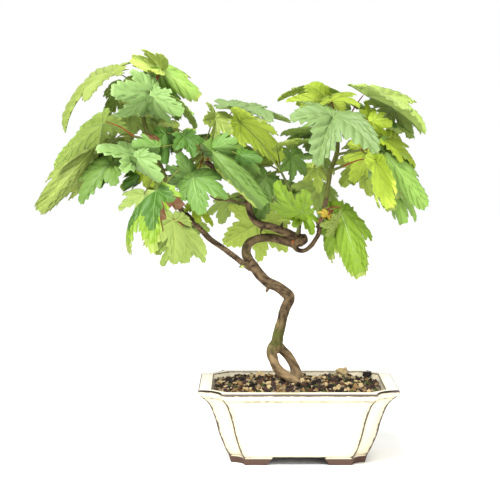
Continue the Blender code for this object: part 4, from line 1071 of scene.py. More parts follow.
# %% Every shoot: its stem, the leaves that show, and its space for hidden ones
SHOOTS = {
    "crown_left": {
        "limbs": (BOUGH_LEFT_UPPER,),
        "stem": ((-126, 3, 280), (-123, 4, 288), (-117, 5, 297)),
        "leaves": (
            leaf(
                (-111, 3, 316), (-24, 7, 9), (-0.53, 0.84, 0.07), (35, 48, -51),
                (1.07, 0.8, 0.86, 1.2), "sun_red",
            ),
            leaf(
                (-110, 3, 315), (31, -3, -22), (-0.27, -0.9, 0.35), (36, 47, -49),
                (0.7, 0.67, 1.01, 1.5), "sun_orange",
            ),
            leaf(
                (-149, -4, 312), (-38, 3, -48), (-0.74, -0.25, 0.63), (63, 12, 1),
                (0.4, 0.73, 0.82, 0.66), "lime",
            ),
            leaf(
                (-116, -20, 296), (-32, -15, 3), (-0.04, -1, -0.07), (55, 34, -27),
                (1.06, 0.95, 0.69, 0.72), "blue",
            ),
            leaf(
                (-114, -30, 293), (24, -11, -12), (0.05, -0.97, -0.25), (22, 33, -31),
                (0.47, 0.53, 0.94, 1.5), "blue",
            ),
            leaf(
                (-136, 0, 294), (-9, 5, -5), (0.51, 0.8, 0.32), (43, 35, -26),
                (0.88, 0.92, 0.99, 1.25), "sun_red",
            ),
        ),
        "space": ((-116, 34, 288), (56, 52, 50)),
        "hidden": 5,
        "seed": 3,
    },
    "left": {
        "limbs": (BOUGH_LEFT_UPPER,),
        "stem": ((-118.5, -2, 258), (-124, -4, 260), (-132, -6, 262)),
        "leaves": (
            leaf(
                (-156, -16, 272), (-38, -1, -36), (-0.47, 0.41, 0.78), (16, 22, -4),
                (0.69, 0.53, 0.73, 0.72), "mid_orange",
            ),
            leaf(
                (-166, 2, 251), (-42, -14, -49), (0.33, -0.89, 0.31), (69, 22, -65),
                (1.5, 0.63, 0.64, 0.63), "lime",
            ),
        ),
        "space": ((-152, 30, 250), (50, 46, 46)),
        "hidden": 3,
        "seed": 5,
    },
    "left_inner": {
        "limbs": (BOUGH_LEFT_UPPER,),
        "stem": ((-108, -8, 231), (-112, -13, 234), (-118, -18, 240)),
        "leaves": (
            leaf(
                (-129, -15, 245), (-32, -13, 6), (0.01, -0.62, 0.78), (34, 20, -6),
                (0.51, 0.75, 0.66, 1.19), "blue",
            ),
            leaf(
                (-127, -36, 245), (20, -8, -17), (-0.75, -0.58, 0.31), (27, 31, -40),
                (0.62, 0.69, 0.59, 1.18), "blue",
            ),
            leaf(
                (-148, -19, 240), (-24, -11, -32), (-0.43, -0.57, 0.7), (32, 28, -3),
                (0.4, 0.63, 0.89, 1.35), "shade",
            ),
            leaf(
                (-126, 6, 233), (-17, -6, -14), (0.27, -0.96, 0.07), (36, 56, -50),
                (1.19, 0.75, 0.74, 1.27), "deep",
            ),
            leaf(
                (-122, -1, 236), (3, 8, -18), (-0.16, -0.43, 0.89), (43, 29, -12),
                (0.83, 0.84, 1.17, 1), "olive",
            ),
        ),
        "space": ((-120, 30, 222), (44, 40, 36)),
        "hidden": 2,
        "seed": 7,
    },
    "left_low": {
        "limbs": (BOUGH_LEFT_LOWER,),
        "stem": ((-82, -12, 189.5), (-88, -10, 189), (-92, -8, 190)),
        "leaves": (
            leaf(
                (-101, -5, 194), (-1, 9, -37), (0.58, 0.8, 0.16), (37, 10, -1),
                (0.61, 1.01, 1.09, 0.75), "soft_red",
            ),
        ),
        "space": ((-100, 30, 180), (38, 34, 40)),
        "hidden": 2,
        "seed": 2,
    },
    "centre": {
        "limbs": (BOUGH_CENTRE,),
        "stem": ((-75, 6, 241.5), (-76.5, 5, 246), (-76, 4, 250)),
        "leaves": (
            leaf(
                (-112, -37, 220), (-20, -8, -49), (-0.93, -0.25, 0.25), (84, 30, -42),
                (0.62, 0.88, 0.5, 0.4), "deep",
            ),
            leaf(
                (-84, -24, 229), (8, -16, -28), (-0.23, -0.87, 0.43), (51, 34, -21),
                (1.2, 0.94, 0.7, 0.75), "mid",
            ),
            leaf(
                (-85, -11, 206), (16, 4, -17), (0.3, -0.41, 0.86), (30, 27, -5),
                (1, 1.06, 0.72, 0.64), "olive",
            ),
            leaf(
                (-85, -14, 230), (-11, -6, 19), (-0.01, -0.85, 0.53), (47, 40, -36),
                (1.47, 0.97, 0.64, 1), "mid",
            ),
            leaf(
                (-91, -26, 262), (8, -7, -17), (0.46, -0.77, 0.45), (32, 20, 10),
                (0.95, 0.87, 0.98, 0.69), "deep",
            ),
            leaf(
                (-106, -16, 264), (-1, -3, -24), (0.22, -0.89, 0.4), (25, 41, -48),
                (1.01, 0.83, 0.76, 0.87), "deep",
            ),
            leaf(
                (-113, -26, 254), (-19, -7, 3), (-0.06, -0.99, 0.1), (42, 32, -38),
                (0.7, 0.79, 0.77, 1.08), "mid",
            ),
            leaf(
                (-99, 2, 269), (-14, -4, 2), (-0.03, -0.98, 0.18), (38, 34, -37),
                (1.25, 0.79, 0.85, 1.04), "lime",
            ),
            leaf(
                (-67, -16, 276), (-4, -11, -22), (0.64, -0.77, 0.07), (33, 15, 28),
                (0.94, 0.76, 0.99, 0.89), "lime",
            ),
            leaf(
                (-50, 11, 282), (45, -4, -10), (0.13, -0.11, 0.99), (12, 26, 15),
                (1.29, 0.77, 1.25, 0.96), "teal",
            ),
            leaf(
                (-68, -36, 250), (41, -11, -41), (-0.63, -0.65, 0.42), (51, 32, -61),
                (0.88, 0.68, 0.47, 1), "shade",
            ),
            leaf(
                (-46, -48, 248), (17, -4, -4), (0.14, -0.99, 0.1), (35, 42, -46),
                (1.06, 0.78, 0.74, 0.89), "deep",
            ),
            leaf(
                (-65, -36, 254), (16, -3, 6), (0.11, -0.98, 0.17), (55, 43, -34),
                (1.32, 0.89, 1.25, 1), "mid",
            ),
        ),
        "space": ((-78, 44, 252), (56, 52, 46)),
        "hidden": 6,
        "seed": 11,
    },
    "middle": {
        "limbs": (BOUGH_RETURN, TRUNK_ARCH),
        "stem": ((-1, 2.2, 180.4), (1, -4, 194), (-4, -3, 214), (-14, -1, 234)),
        "leaves": (
            leaf(
                (-47, 2, 274), (35, 8, -33), (0.03, 0.86, 0.51), (49, 31, -37),
                (0.4, 0.43, 0.7, 1.5), "glow",
            ),
            leaf((-16, -9, 253), (19, -6, 6), (0.02, 0.06, 1), (34, 25, 4), (0.86, 1.01, 1.09, 0.46), "lime"),
            leaf(
                (-26, 9, 228), (-4, -11, -34), (-0.32, -0.85, 0.42), (38, 30, -22),
                (0.43, 0.6, 0.79, 1.4), "shade",
            ),
            leaf(
                (-7, -14, 246), (0, -2, -20), (0.75, -0.59, 0.29), (21, 23, 14),
                (1.13, 1.27, 1.08, 0.76), "shade",
            ),
            leaf(
                (2, -32, 203), (-19, -7, 26), (-0.73, -0.54, 0.42), (58, 25, -1),
                (1.31, 0.83, 0.8, 0.46), "apple",
            ),
            leaf(
                (2, -11, 201), (9, -8, -18), (0.53, -0.71, 0.47), (43, 26, -5),
                (1.34, 0.82, 0.83, 0.52), "apple",
            ),
        ),
        "space": ((-20, 42, 228), (50, 50, 48)),
        "hidden": 6,
        "seed": 13,
    },
    "behind": {
        "limbs": (BOUGH_RETURN,),
        "stem": ((-28, -2, 192), (-30, 5, 193)),
        "leaves": (
            leaf(
                (-34, 27, 188), (2, 12, -32), (0.59, 0.79, 0.15), (17, 15, 11),
                (1.25, 1.46, 1.06, 1.44), "lime",
            ),
        ),
        "space": ((-42, 40, 186), (44, 38, 38)),
        "hidden": 1,
        "seed": 17,
    },
    "crown_right": {
        "limbs": (BOUGH_RIGHT_UPPER,),
        "stem": ((29, 8, 283), (27.5, 6, 289), (27, 4, 295)),
        "leaves": (
            leaf(
                (27, -30, 277), (-14, -25, -39), (-0.07, -0.85, 0.52), (76, 45, 20),
                (0.67, 1.09, 0.76, 0.81), "teal",
            ),
            leaf(
                (26, 5, 290), (-36, -5, -2), (-0.09, 0.33, 0.94), (17, 21, 14),
                (0.4, 1.11, 0.96, 0.54), "glow_red",
            ),
            leaf(
                (26, -5, 290), (24, 5, -6), (0.16, 0.33, 0.93), (48, 22, 8),
                (1, 1.23, 0.99, 1.27), "glow_red",
            ),
        ),
        "space": ((16, 40, 278), (54, 48, 42)),
        "hidden": 5,
        "seed": 19,
    },
    "top_right": {
        "limbs": (BOUGH_RIGHT_UPPER,),
        "stem": ((32, 6, 263), (37, 6, 269), (40, 5, 274)),
        "leaves": (
            leaf(
                (56, 4, 294), (46, -17, -30), (0.51, -0.19, 0.84), (29, 14, 17),
                (0.72, 0.88, 1.48, 0.61), "sheen",
            ),
            leaf(
                (58, 1, 276), (-5, 3, 14), (0.47, -0.49, 0.73), (30, 23, 3),
                (0.77, 0.89, 0.89, 0.74), "olive",
            ),
            leaf(
                (59, -10, 274), (16, -6, -2), (0.42, -0.9, -0.11), (38, 37, -30),
                (0.85, 0.73, 0.95, 1.03), "olive",
            ),
        ),
        "space": ((66, 32, 276), (42, 42, 42)),
        "hidden": 3,
        "seed": 23,
    },
    "right": {
        "limbs": (BOUGH_RIGHT_UPPER,),
        "stem": ((31.3, 2, 247), (38, 2, 248.5), (51, 0, 251)),
        "leaves": (
            leaf(
                (56, 7, 249), (-13, 8, -26), (0.51, 0.85, 0.13), (36, 34, -33),
                (0.89, 0.7, 0.81, 1.49), "yellow_red",
            ),
            leaf(
                (69, -10, 250), (33, -9, -45), (-0.2, -0.97, 0.14), (49, 43, -61),
                (1.16, 0.61, 0.77, 1.5), "fresh_red",
            ),
            leaf(
                (66, -1, 259), (29, 8, -24), (0.5, -0.35, 0.79), (19, 28, 12),
                (0.4, 1.35, 0.83, 0.7), "olive",
            ),
            leaf(
                (81, 11, 217), (5, -10, -26), (-0.28, -0.9, 0.34), (50, 47, -52),
                (1.49, 1.01, 0.81, 0.92), "fresh",
            ),
        ),
        "space": ((68, 34, 236), (46, 46, 46)),
        "hidden": 2,
        "seed": 29,
    },
    "right_front": {
        "limbs": (BOUGH_RIGHT_UPPER,),
        "stem": ((26, -3, 234), (31, -5, 236), (36, -7, 238)),
        "leaves": (
            leaf(
                (61, -27, 242), (12, 3, -39), (-0.05, 0.96, 0.27), (46, 61, -55),
                (1.1, 0.91, 0.86, 0.64), "pale_under",
            ),
        ),
        "space": ((60, 34, 210), (40, 38, 40)),
        "hidden": 0,
        "seed": 31,
    },
    "right_inner": {
        "limbs": (BOUGH_RIGHT_UPPER,),
        "stem": ((25, -3.4, 228.5), (21, 1, 235), (17, 8, 240)),
        "leaves": (
            leaf(
                (14, 15, 236), (3, 2, -21), (0.58, 0.59, 0.56), (45, 26, -11),
                (0.65, 0.79, 0.78, 1.04), "olive",
            ),
        ),
        "space": ((14, 40, 220), (38, 36, 36)),
        "hidden": 2,
        "seed": 37,
    },
    "right_low": {
        "limbs": (BOUGH_RIGHT_LOWER,),
        "stem": ((21, -6, 204), (24, -9, 204), (28, -11, 203)),
        "leaves": (
            leaf(
                (34, -9, 202), (17, -11, -52), (-0.07, -0.96, 0.26), (59, 48, -40),
                (0.4, 0.6, 0.72, 0.9), "apple",
            ),
            leaf(
                (29, -19, 194), (-13, -8, -1), (-0.16, -0.91, -0.37), (37, 22, 10),
                (1.5, 0.92, 0.72, 1), "lime",
            ),
            leaf((23, -18, 199), (-8, 0, 2), (0.04, -0.44, 0.9), (30, 20, 13), (1, 1.03, 1.02, 1), "ochre"),
            leaf((23, -12, 198), (5, -3, -1), (-0.05, -0.76, 0.65), (31, 18, 17), (1, 0.98, 1, 1), "ochre"),
        ),
        "space": ((36, 24, 182), (36, 34, 38)),
        "hidden": 0,
        "seed": 41,
    },
}
print("leaves that show:", sum(len(shoot["leaves"]) for shoot in SHOOTS.values()))

# %% Tests for room between leaves, limbs and the masses' spaces
TWIG_SIDES, MODEL_HALF = 3, 0.45  # half the thickness of the model's blade
STEM_TAPER, STEM_LONGER = 0.7, 0.3


def blade_shape(row):
    """The model's coarse blade, which stands for the leaf in the tests for room."""
    outline = blade_outline(row)
    count = len(outline)
    ribs = {}
    marks = [(0, 0.0)]
    for degrees, reach in lobe_marks(row):
        if len(row["shoulders"]) > 1 and abs(degrees) < WIDE_LOBES or degrees == 0:
            ribs[degrees] = count + len(marks)
            marks.append((degrees, reach * 0.5))
    points = [p for lift in (MODEL_HALF, -MODEL_HALF) for p in blade_points(row, outline + marks, lift)]
    notch_turns = [degrees for degrees, _ in NOTCHES]
    notches = [i for i, (degrees, _) in enumerate(outline) if abs(degrees) in notch_turns]
    backs = [i for i, (degrees, _) in enumerate(outline) if abs(degrees) == LEAF_BACK[0]]
    fans = []
    ring_ends = [backs[0]] + notches + [backs[1]]
    for start, end in zip(ring_ends, ring_ends[1:]):
        rib = ribs.get(outline[(start + end) // 2][0], count)
        fans += [(i, i + 1, rib) for i in range(start, end)]
        if rib != count:
            fans += [(count, start, rib), (end, count, rib)]
    fans += [(0, backs[0], count), (backs[1], 0, count)]
    under = count + len(marks)
    faces = fans + [tuple(under + i for i in reversed(fan)) for fan in fans]
    faces += [(i, under + i, under + (i + 1) % count, (i + 1) % count) for i in range(count)]
    return points, faces


def petiole_route(row, stem):
    """The stalk from the nearest place on the shoot's stem, sunk into the blade's foot."""
    origin, _, mid, _, length = blade_frame(row)
    places = stem[2:-1, :3]
    start = places[np.argmin(np.linalg.norm(places - origin, axis=1))]
    end = origin - mid * length * LEAF_FOOT[1] / 2
    middle = (start + end) / 2 + np.array((0, 0, PETIOLE_RISE * np.linalg.norm(end - start)))
    widths = ((start, 1.0), (middle, 0.85), (end, 0.6))
    return np.array([(*place, PETIOLE_RADIUS * width) for place, width in widths])


def stem_route(shoot):
    """A shoot's stem, a little longer than its last place."""
    places = smooth_route([(*row, 0) for row in shoot["stem"]], 2)
    places = np.vstack([places, places[-1] + (places[-1] - places[-2]) * STEM_LONGER])
    places[:, 3] = np.linspace(STEM_RADIUS, STEM_RADIUS * STEM_TAPER, len(places))
    if shoot["stem"][0] == shoot["limbs"][0][-1][:3]:
        places[0, :3] -= unit(places[1, :3] - places[0, :3])
    return places


def blade_samples(row):
    """Points spread over a blade."""
    marks = [(0, 0.0)]
    for degrees, reach in blade_outline(row):
        marks += [(degrees, reach), (degrees, reach * 0.55)]
    return blade_points(row, marks)


def seen_flat(points):
    """Where points appear from the front, on the plane through the pot's middle."""
    share = -VIEW_FROM[1] / (points[:, 1] - VIEW_FROM[1])
    return VIEW_FROM[[0, 2]] + (points[:, [0, 2]] - VIEW_FROM[[0, 2]]) * share[:, None]


def leaf_bounds(row, stem):
    """A leaf's box and a tree of its faces, to test whether two leaves touch."""
    route = petiole_route(row, stem)
    route[0] = route[0] * 0.6 + route[1] * 0.4
    points, faces = join_shapes([blade_shape(row), tube(route, TWIG_SIDES)])
    tree = BVHTree.FromPolygons(points.tolist(), faces)
    return points.min(axis=0), points.max(axis=0), tree


def touches(one, other):
    """Whether two leaves' boxes meet, and then whether their faces do."""
    if (one[0] > other[1]).any() or (other[0] > one[1]).any():
        return False
    return bool(one[2].overlap(other[2]))


def clear_of_limbs(points, limbs, least):
    """Whether points stay farther than this off every limb's surface."""
    distances = np.linalg.norm(points[:, None] - limbs[None, :, :3], axis=2)
    return (distances - limbs[:, 3]).min() > least


def has_room(row, stem, space, shown, blades, bounds, limbs):
    """Whether a leaf stays in its space, behind those that show, off limbs and leaves."""
    centre, radii = (np.array(v, float) for v in space)
    samples = blade_samples(row)
    if np.linalg.norm((samples - centre) / radii, axis=1).max() > 1:
        return False
    apart = np.linalg.norm(seen_flat(samples)[:, None] - seen_flat(shown)[None], axis=2)
    if (apart.min(axis=1) < HIDE_WITHIN).mean() < HIDDEN_SHARE:
        return False
    if not clear_of_limbs(samples, limbs, CLEAR_OF_LIMBS):
        return False
    stalk = smooth_route(petiole_route(row, stem), 4)[1:, :3]
    if not clear_of_limbs(stalk, limbs, PETIOLE_RADIUS + GAP):
        return False
    if np.linalg.norm(samples[:, None] - blades[None], axis=2).min() < CLEAR_OF_LEAVES:
        return False
    own = leaf_bounds(row, stem)
    return not any(touches(own, other) for other in bounds)


limb_rows = [LEG_FRONT, LEG_BACK, TWIG_DEAD, TRUNK_FOOT, TRUNK_MIDDLE, TRUNK_ARCH, BOUGH_RETURN]
limb_rows += [BOUGH_CENTRE, BOUGH_LEFT_LOWER, BOUGH_LEFT_UPPER, BOUGH_RIGHT_LOWER, BOUGH_RIGHT_UPPER]
limbs = np.vstack([smooth_route(rows, 6) for rows in limb_rows])
shown = np.vstack([blade_samples(row) for shoot in SHOOTS.values() for row in shoot["leaves"]])
bounds = [leaf_bounds(row, stem_route(shoot)) for shoot in SHOOTS.values() for row in shoot["leaves"]]
print("places on the limbs:", len(limbs), "and on the leaves that show:", len(shown))

# %% Grow the hidden leaves by the same rule
# Painted light: the hidden leaves take lighter looks than their place in shade gives, for the light that
# shines through the leaves in front.
HIDDEN_LOOKS = ("mid", "fresh", "blue", "mid", "apple", "fresh", "lime")
# What the dice choose from: degrees, but millimetres for the length and a share for the twist.
DROOP, TURN, LENGTH, TWIST = (5, 70), (-50, 50), (26, 38), (-0.3, 0.3)
BEND, CUP, FOLD = (20, 45), 20, (-30, 12)


def grow_hidden(shoot, shown, blades, bounds, limbs):
    """Tries leaves in seeded order through the shoot's space and keeps those with room."""
    dice = random.Random(shoot["seed"])
    stem = stem_route(shoot)
    places = stem[2:-1, :3]
    centre, radii = (np.array(v, float) for v in shoot["space"])
    grown = []
    for _ in range(TRIES):
        if len(grown) == shoot["hidden"]:
            break
        way = unit(np.array([dice.gauss(0, 1) for _ in range(3)]))
        at = centre + radii * way * dice.uniform(0, 0.8)
        droop = math.radians(dice.uniform(*DROOP))
        turn = math.radians(dice.uniform(*TURN))
        length = dice.uniform(*LENGTH)
        twist = dice.uniform(*TWIST)
        curl = (dice.uniform(*BEND), CUP, dice.uniform(*FOLD))
        start = places[np.argmin(np.linalg.norm(places - at, axis=1))]
        if not STALKS[0] < np.linalg.norm(at - start) < STALKS[1] or at[1] < start[1] + BEHIND:
            continue
        heading = math.atan2(at[1] - start[1], at[0] - start[0])
        outward = np.array((math.cos(heading), math.sin(heading), 0))
        flat = np.array((math.cos(heading + turn), math.sin(heading + turn), 0)) * math.cos(droop)
        tip = (flat - np.array((0, 0, math.sin(droop)))) * length
        face = outward * 0.4 + np.array((twist, 0, 1))
        look = HIDDEN_LOOKS[len(bounds) % len(HIDDEN_LOOKS)]
        row = leaf(tuple(at), tuple(tip), tuple(face), curl, look=look, shoulders=POINTED)
        if has_room(row, stem, shoot["space"], shown, blades, bounds, limbs):
            grown.append(row)
            bounds.append(leaf_bounds(row, stem))
            blades = np.vstack([blades, blade_samples(row)])
    return grown, blades


blades = shown
LEAVES = {}
for name, shoot in SHOOTS.items():
    hidden, blades = grow_hidden(shoot, shown, blades, bounds, limbs)
    LEAVES[name] = list(shoot["leaves"]) + hidden
print("leaves:", {name: len(rows) for name, rows in LEAVES.items()})

# %% [markdown]
# ## Teeth and veins
# The margin has coarse blunt teeth, and every side vein runs out into one of them. So each
# side of a lobe is drawn as a curve from notch to tip with teeth on it, and the veins are
# drawn from the lobe's rib to the teeth. The same vein lines then press the blade: the
# tissue swells up between them, as it does on the real leaf.

# %% A fine outline with its teeth, and the veins that end in them
TOOTH_DEPTH = 0.052  # a share of the leaf's length
TOOTH_EVERY = 7.5  # millimetres of the margin
TOOTH_TIP = (0.68, 1.0)
# One tooth: shares of its length, and how far each point stands out.
TOOTH = ((0.25, 0.4), (0.5, 0.8), TOOTH_TIP, (0.84, 0.55), (1.0, -0.1))
NOTCH_SHARE = 0.8
VEIN_SLOPE = math.tan(math.radians(40))
# Degrees and shares of the leaf's length: the margin behind the back lobes, and its vein.
BACK_MARKS, BACK_VEIN = ((171, 0.2), (160, 0.29)), (150, 0.24)
WIDE_SHOULDER, BACK_SHOULDER = (14, 0.83), (12, 0.8)
SIDE_VEIN, MAIN_VEIN, MAIN_BACK_VEIN = 0.42, 1.0, 0.75  # widths
LEAST_TURN = 0.25  # degrees between two points of the outline


def flat_place(degrees, reach):
    """Where a mark of degrees and reach lies on the flat leaf."""
    turn = math.radians(degrees)
    return np.array((math.sin(turn), math.cos(turn))) * reach


def lobe_side(notch, shoulder, tip, teeth, dice):
    """One side of a lobe from its notch to its tip: its points, and its tooth tips."""
    first = notch + (shoulder - notch) * 0.8
    second = shoulder + (tip - shoulder) * 0.3
    axis = unit(tip)
    outward = np.array((axis[1], -axis[0]))
    if outward.dot(shoulder) < 0:
        outward = -outward

    def on_curve(t):
        """A place between the notch, at 0, and the tip, at 1."""
        rest = 1 - t
        return rest**3 * notch + 3 * rest**2 * t * first + 3 * rest * t**2 * second + t**3 * tip

    points, tips = [notch], []
    for tooth in range(teeth):
        depth = TOOTH_DEPTH * (1.15 - 0.5 * tooth / teeth) * dice.uniform(0.75, 1.25)
        for share, rise in TOOTH:
            t = 0.94 * (tooth + share) / teeth
            point = on_curve(t) + (outward + axis * 0.5) * depth * rise
            points.append(point)
            if (share, rise) == TOOTH_TIP:
                tips.append(point)
    return points, tips


def fine_leaf(row, dice):
    """The toothed outline as degrees and reach, and the veins as flat lines with widths."""
    length = blade_frame(row)[4]
    tips = lobe_marks(row)
    shares = list(row["lobes"][:2]) + [1] + list(row["lobes"][2:])
    notches = [flat_place(-LEAF_BACK[0], LEAF_BACK[1] * shares[0])]
    for i in range(1, 5):
        middle = (tips[i][0] + tips[i - 1][0]) / 2
        notch = NOTCHES[0] if abs(middle) < 40 else NOTCHES[1]
        notches.append(flat_place(middle, NOTCH_SHARE * notch[1] * (shares[i] + shares[i - 1]) / 2))
    notches.append(flat_place(LEAF_BACK[0], LEAF_BACK[1] * shares[4]))
    outline, veins = [], []
    for sign in (-1, 1):
        for turn, reach in BACK_MARKS:
            outline.append(flat_place(sign * turn, reach * (0.5 + shares[0 if sign < 0 else 4] / 2)))
        veins.append(((0, 0), flat_place(sign * BACK_VEIN[0], BACK_VEIN[1]), 0.5))
    outline, closing = outline[:2], outline[:1:-1]
    outline = [flat_place(-180, LEAF_FOOT[1])] + outline
    for i, (degrees, reach) in enumerate(tips):
        tip = flat_place(degrees, reach)
        broad, full = WIDE_SHOULDER if abs(degrees) < WIDE_LOBES else BACK_SHOULDER
        both = []
        for notch, turn in ((notches[i], -broad), (notches[i + 1], broad)):
            shoulder = flat_place(degrees + turn, reach * full)
            teeth = max(2, min(5, round(np.linalg.norm(tip - notch) * length / TOOTH_EVERY)))
            points, teeth_tips = lobe_side(notch, shoulder, tip, teeth, dice)
            both.append(points)
            axis = unit(tip)
            for tooth in teeth_tips:
                along = tooth.dot(axis)
                off = np.linalg.norm(tooth - axis * along)
                start = axis * max(0.07 * reach, along - off / VEIN_SLOPE)
                veins.append((start, start + (tooth - start) * 0.95, SIDE_VEIN))
        outline += both[0] + [tip] + both[1][::-1]
        width = MAIN_VEIN if abs(degrees) < WIDE_LOBES else MAIN_BACK_VEIN
        veins.append(((0, 0), tip * 0.985, width))
    outline = np.array(outline + closing)
    turns = np.degrees(np.arctan2(outline[:, 0], outline[:, 1]))
    turns[0] = -180
    for i in range(1, len(turns)):
        turns[i] = max(turns[i], turns[i - 1] + LEAST_TURN)
    reaches = np.linalg.norm(outline, axis=1)
    return np.column_stack([turns, reaches]), veins


# %% How the veins press the blade
VEIN_BOW = 0.05
IS_MAIN = 0.6  # a main vein's least width
SWELL, SWELL_REACH = 0.034, 0.028  # shares of the leaf's length: tissue between all veins
GUTTER, GUTTER_REACH = 0.2, 0.16  # the slope up from a main vein, and how far it goes
WAVE, SLOW_WAVE, QUICK_WAVE = 0.02, 5, 11


def flat_marks(line):
    """Flat places as marks of degrees and reach."""
    return np.column_stack([np.degrees(np.arctan2(line[:, 0], line[:, 1])), np.linalg.norm(line, axis=1)])


def vein_line(start, end, steps):
    """A vein's flat points, bowed a little towards the leaf's tip."""
    start, end = np.array(start, float), np.array(end, float)
    t = np.linspace(0, 1, steps + 1)[:, None]
    bend = VEIN_BOW * np.sign(start[0] * end[1] - start[1] * end[0])
    bow = np.array((end[1] - start[1], start[0] - end[0])) * bend
    return start + (end - start) * t + bow * 4 * t * (1 - t)


def distance_to(places, starts, ends):
    """Each flat place's distance from the nearest of some straight lines."""
    ways = ends - starts
    spans = np.maximum((ways**2).sum(axis=1), 1e-9)
    t = np.clip(((places[:, None] - starts[None]) * ways[None]).sum(axis=2) / spans, 0, 1)
    return np.linalg.norm(places[:, None] - (starts[None] + ways[None] * t[..., None]), axis=2).min(axis=1)


def relief(row, marks, veins, waves):
    """How far the blade rises at marks, in millimetres: swellings, gutters and a wavy rim."""
    length = blade_frame(row)[4]
    turns, reaches = np.radians(marks[:, 0]), marks[:, 1]
    places = np.column_stack([reaches * np.sin(turns), reaches * np.cos(turns)])
    starts = np.array([start for start, _, _ in veins], float)
    ends = np.array([end for _, end, _ in veins], float)
    main = np.array([width > IS_MAIN for _, _, width in veins])
    from_any = distance_to(places, starts, ends)
    from_main = distance_to(places, starts[main], ends[main])
    swell = SWELL * (1 - np.exp(-((from_any / SWELL_REACH) ** 2)))
    gutter = GUTTER * np.minimum(from_main, GUTTER_REACH)
    ripple = np.sin(SLOW_WAVE * turns + waves[0]) + 0.7 * np.sin(QUICK_WAVE * turns + waves[1])
    return length * (swell + gutter + WAVE * reaches**2 * ripple)


plain_leaf = leaf((0, 0, 0), (0, -30, 0), (0, 0, 1))
print("veins of a plain leaf:", len(fine_leaf(plain_leaf, random.Random(1))[1]))


# %% [markdown]
# ## Leaf tissue
# A young maple's leaf is soft and a little glossy above, paler and matt below. The colour
# changes from leaf to leaf with its age, so each leaf is dealt one look: plain colours for its
# two sides, its veins and its stalk. The looks also hold painted light: the under sides are
# lighter than their own colour for the light that shines through the blade, and some leaves
# in shade have lighter colours. Fine cells between the veins are too small to model, so a bump
# of cells stands for them, drawn coarse enough to show.

# %% Colours for blades, veins and stalks
# Each look: upper side, under side, veins, stalk.
LOOKS = {
    "deep": ("deep_green", "dull_under", "green_veins", "olive_stalk"),
    "shade": ("dark_green", "dull_under", "green_veins", "olive_stalk"),
    "mid": ("mid_green", "green_under", "pale_veins", "olive_stalk"),
    "mid_orange": ("mid_green", "green_under", "pale_veins", "orange_stalk"),
    "blue": ("blue_green", "pale_under", "pale_veins", "olive_stalk"),
    "sheen": ("light_green", "pale_under", "pale_veins", "red_stalk"),
    "apple": ("apple_green", "green_under", "pale_veins", "olive_stalk"),
    "lime": ("lime_green", "lime_under", "yellow_veins", "olive_stalk"),
    "yellow_red": ("yellow_green", "yellow_under", "yellow_veins", "red_stalk"),
    "olive": ("olive_green", "lime_under", "pale_veins", "orange_stalk"),
    "sun_red": ("yellow_green", "sun_under", "yellow_veins", "red_stalk"),
    # Painted light: sun_orange's sun_green is a lighter green for a leaf that hangs in shade.
    "sun_orange": ("sun_green", "sun_under", "yellow_veins", "orange_stalk"),
    "teal": ("teal_green", "pale_under", "pale_veins", "red_stalk"),
    "fresh_red": ("fresh_green", "green_under", "pale_veins", "red_stalk"),
    "ochre": ("ochre_tissue", "ochre_tissue", "yellow_veins", "red_stalk"),
    "soft_red": ("lime_green", "soft_under", "yellow_veins", "red_stalk"),
    # Painted light: the glow looks, and yellow_red and pale_under, take yellow_under, a bright underside for
    # the light that shines through the blade.
    "glow": ("lime_green", "yellow_under", "yellow_veins", "pale_stalk"),
    "glow_red": ("lime_green", "yellow_under", "yellow_veins", "red_stalk"),
    "fresh": ("fresh_green", "green_under", "pale_veins", "olive_stalk"),
    "pale_under": ("blue_green", "yellow_under", "yellow_veins", "orange_stalk"),
}
# Painted light: the under tints are lighter than the real undersides, for the light that shines through the
# opaque blade, and yellow_under most of all.
BLADE_TINTS = {
    "deep_green": "#3A591C", "dark_green": "#4E672A", "mid_green": "#527030", "fresh_green": "#74943F",
    "blue_green": "#637D43", "grey_green": "#779058", "light_green": "#7A8C42", "apple_green": "#617B1A",
    "lime_green": "#6B7936", "yellow_green": "#8A9A38", "olive_green": "#7E9022", "dull_under": "#67813B",
    "green_under": "#8B9F4E", "pale_under": "#99AD5E", "lime_under": "#95A749", "yellow_under": "#B6CA50",
    "teal_green": "#5B7040", "sun_green": "#6E8A3C", "sun_under": "#87974A", "dead_brown": "#4E3420",
    "soft_under": "#87994E", "ochre_tissue": "#8C7626", "yellow_rim": "#77863A",
}
VEIN_TINTS = {"green_veins": "#607A38", "pale_veins": "#82985A", "yellow_veins": "#98A64C"}
STALK_TINTS = {
    "olive_stalk": "#5F6426", "orange_stalk": "#80441D", "red_stalk": "#672318", "green_stem": "#535C24",
    "pale_stalk": "#8C9A4C",
}


def tissue(name, colour, roughness, gloss, cells, depth):
    """Living tissue: one plain colour, a soft gloss and a bump of cells, in millimetres."""
    finish, tree, shader = new_finish(name)
    shader.inputs["Base Color"].default_value = hex_colour(colour)
    shader.inputs["Specular IOR Level"].default_value = gloss
    place = add_node(tree, "ShaderNodeTexCoord")
    net = add_node(
        tree, "ShaderNodeTexVoronoi", {"feature": "DISTANCE_TO_EDGE"},
        {"Vector": place.outputs["Object"], "Scale": 1 / (cells * MM)},
    )
    rough = add_node(
        tree, "ShaderNodeMapRange",
        inputs={
            "Value": net.outputs["Distance"], "From Max": 0.3, "To Min": roughness + 0.1,
            "To Max": roughness,
        },
    )
    tree.links.new(rough.outputs["Result"], shader.inputs["Roughness"])
    bump = add_node(
        tree, "ShaderNodeBump",
        inputs={"Height": net.outputs["Distance"], "Strength": 0.5, "Distance": depth * MM},
    )
    tree.links.new(bump.outputs["Normal"], shader.inputs["Normal"])
    return finish


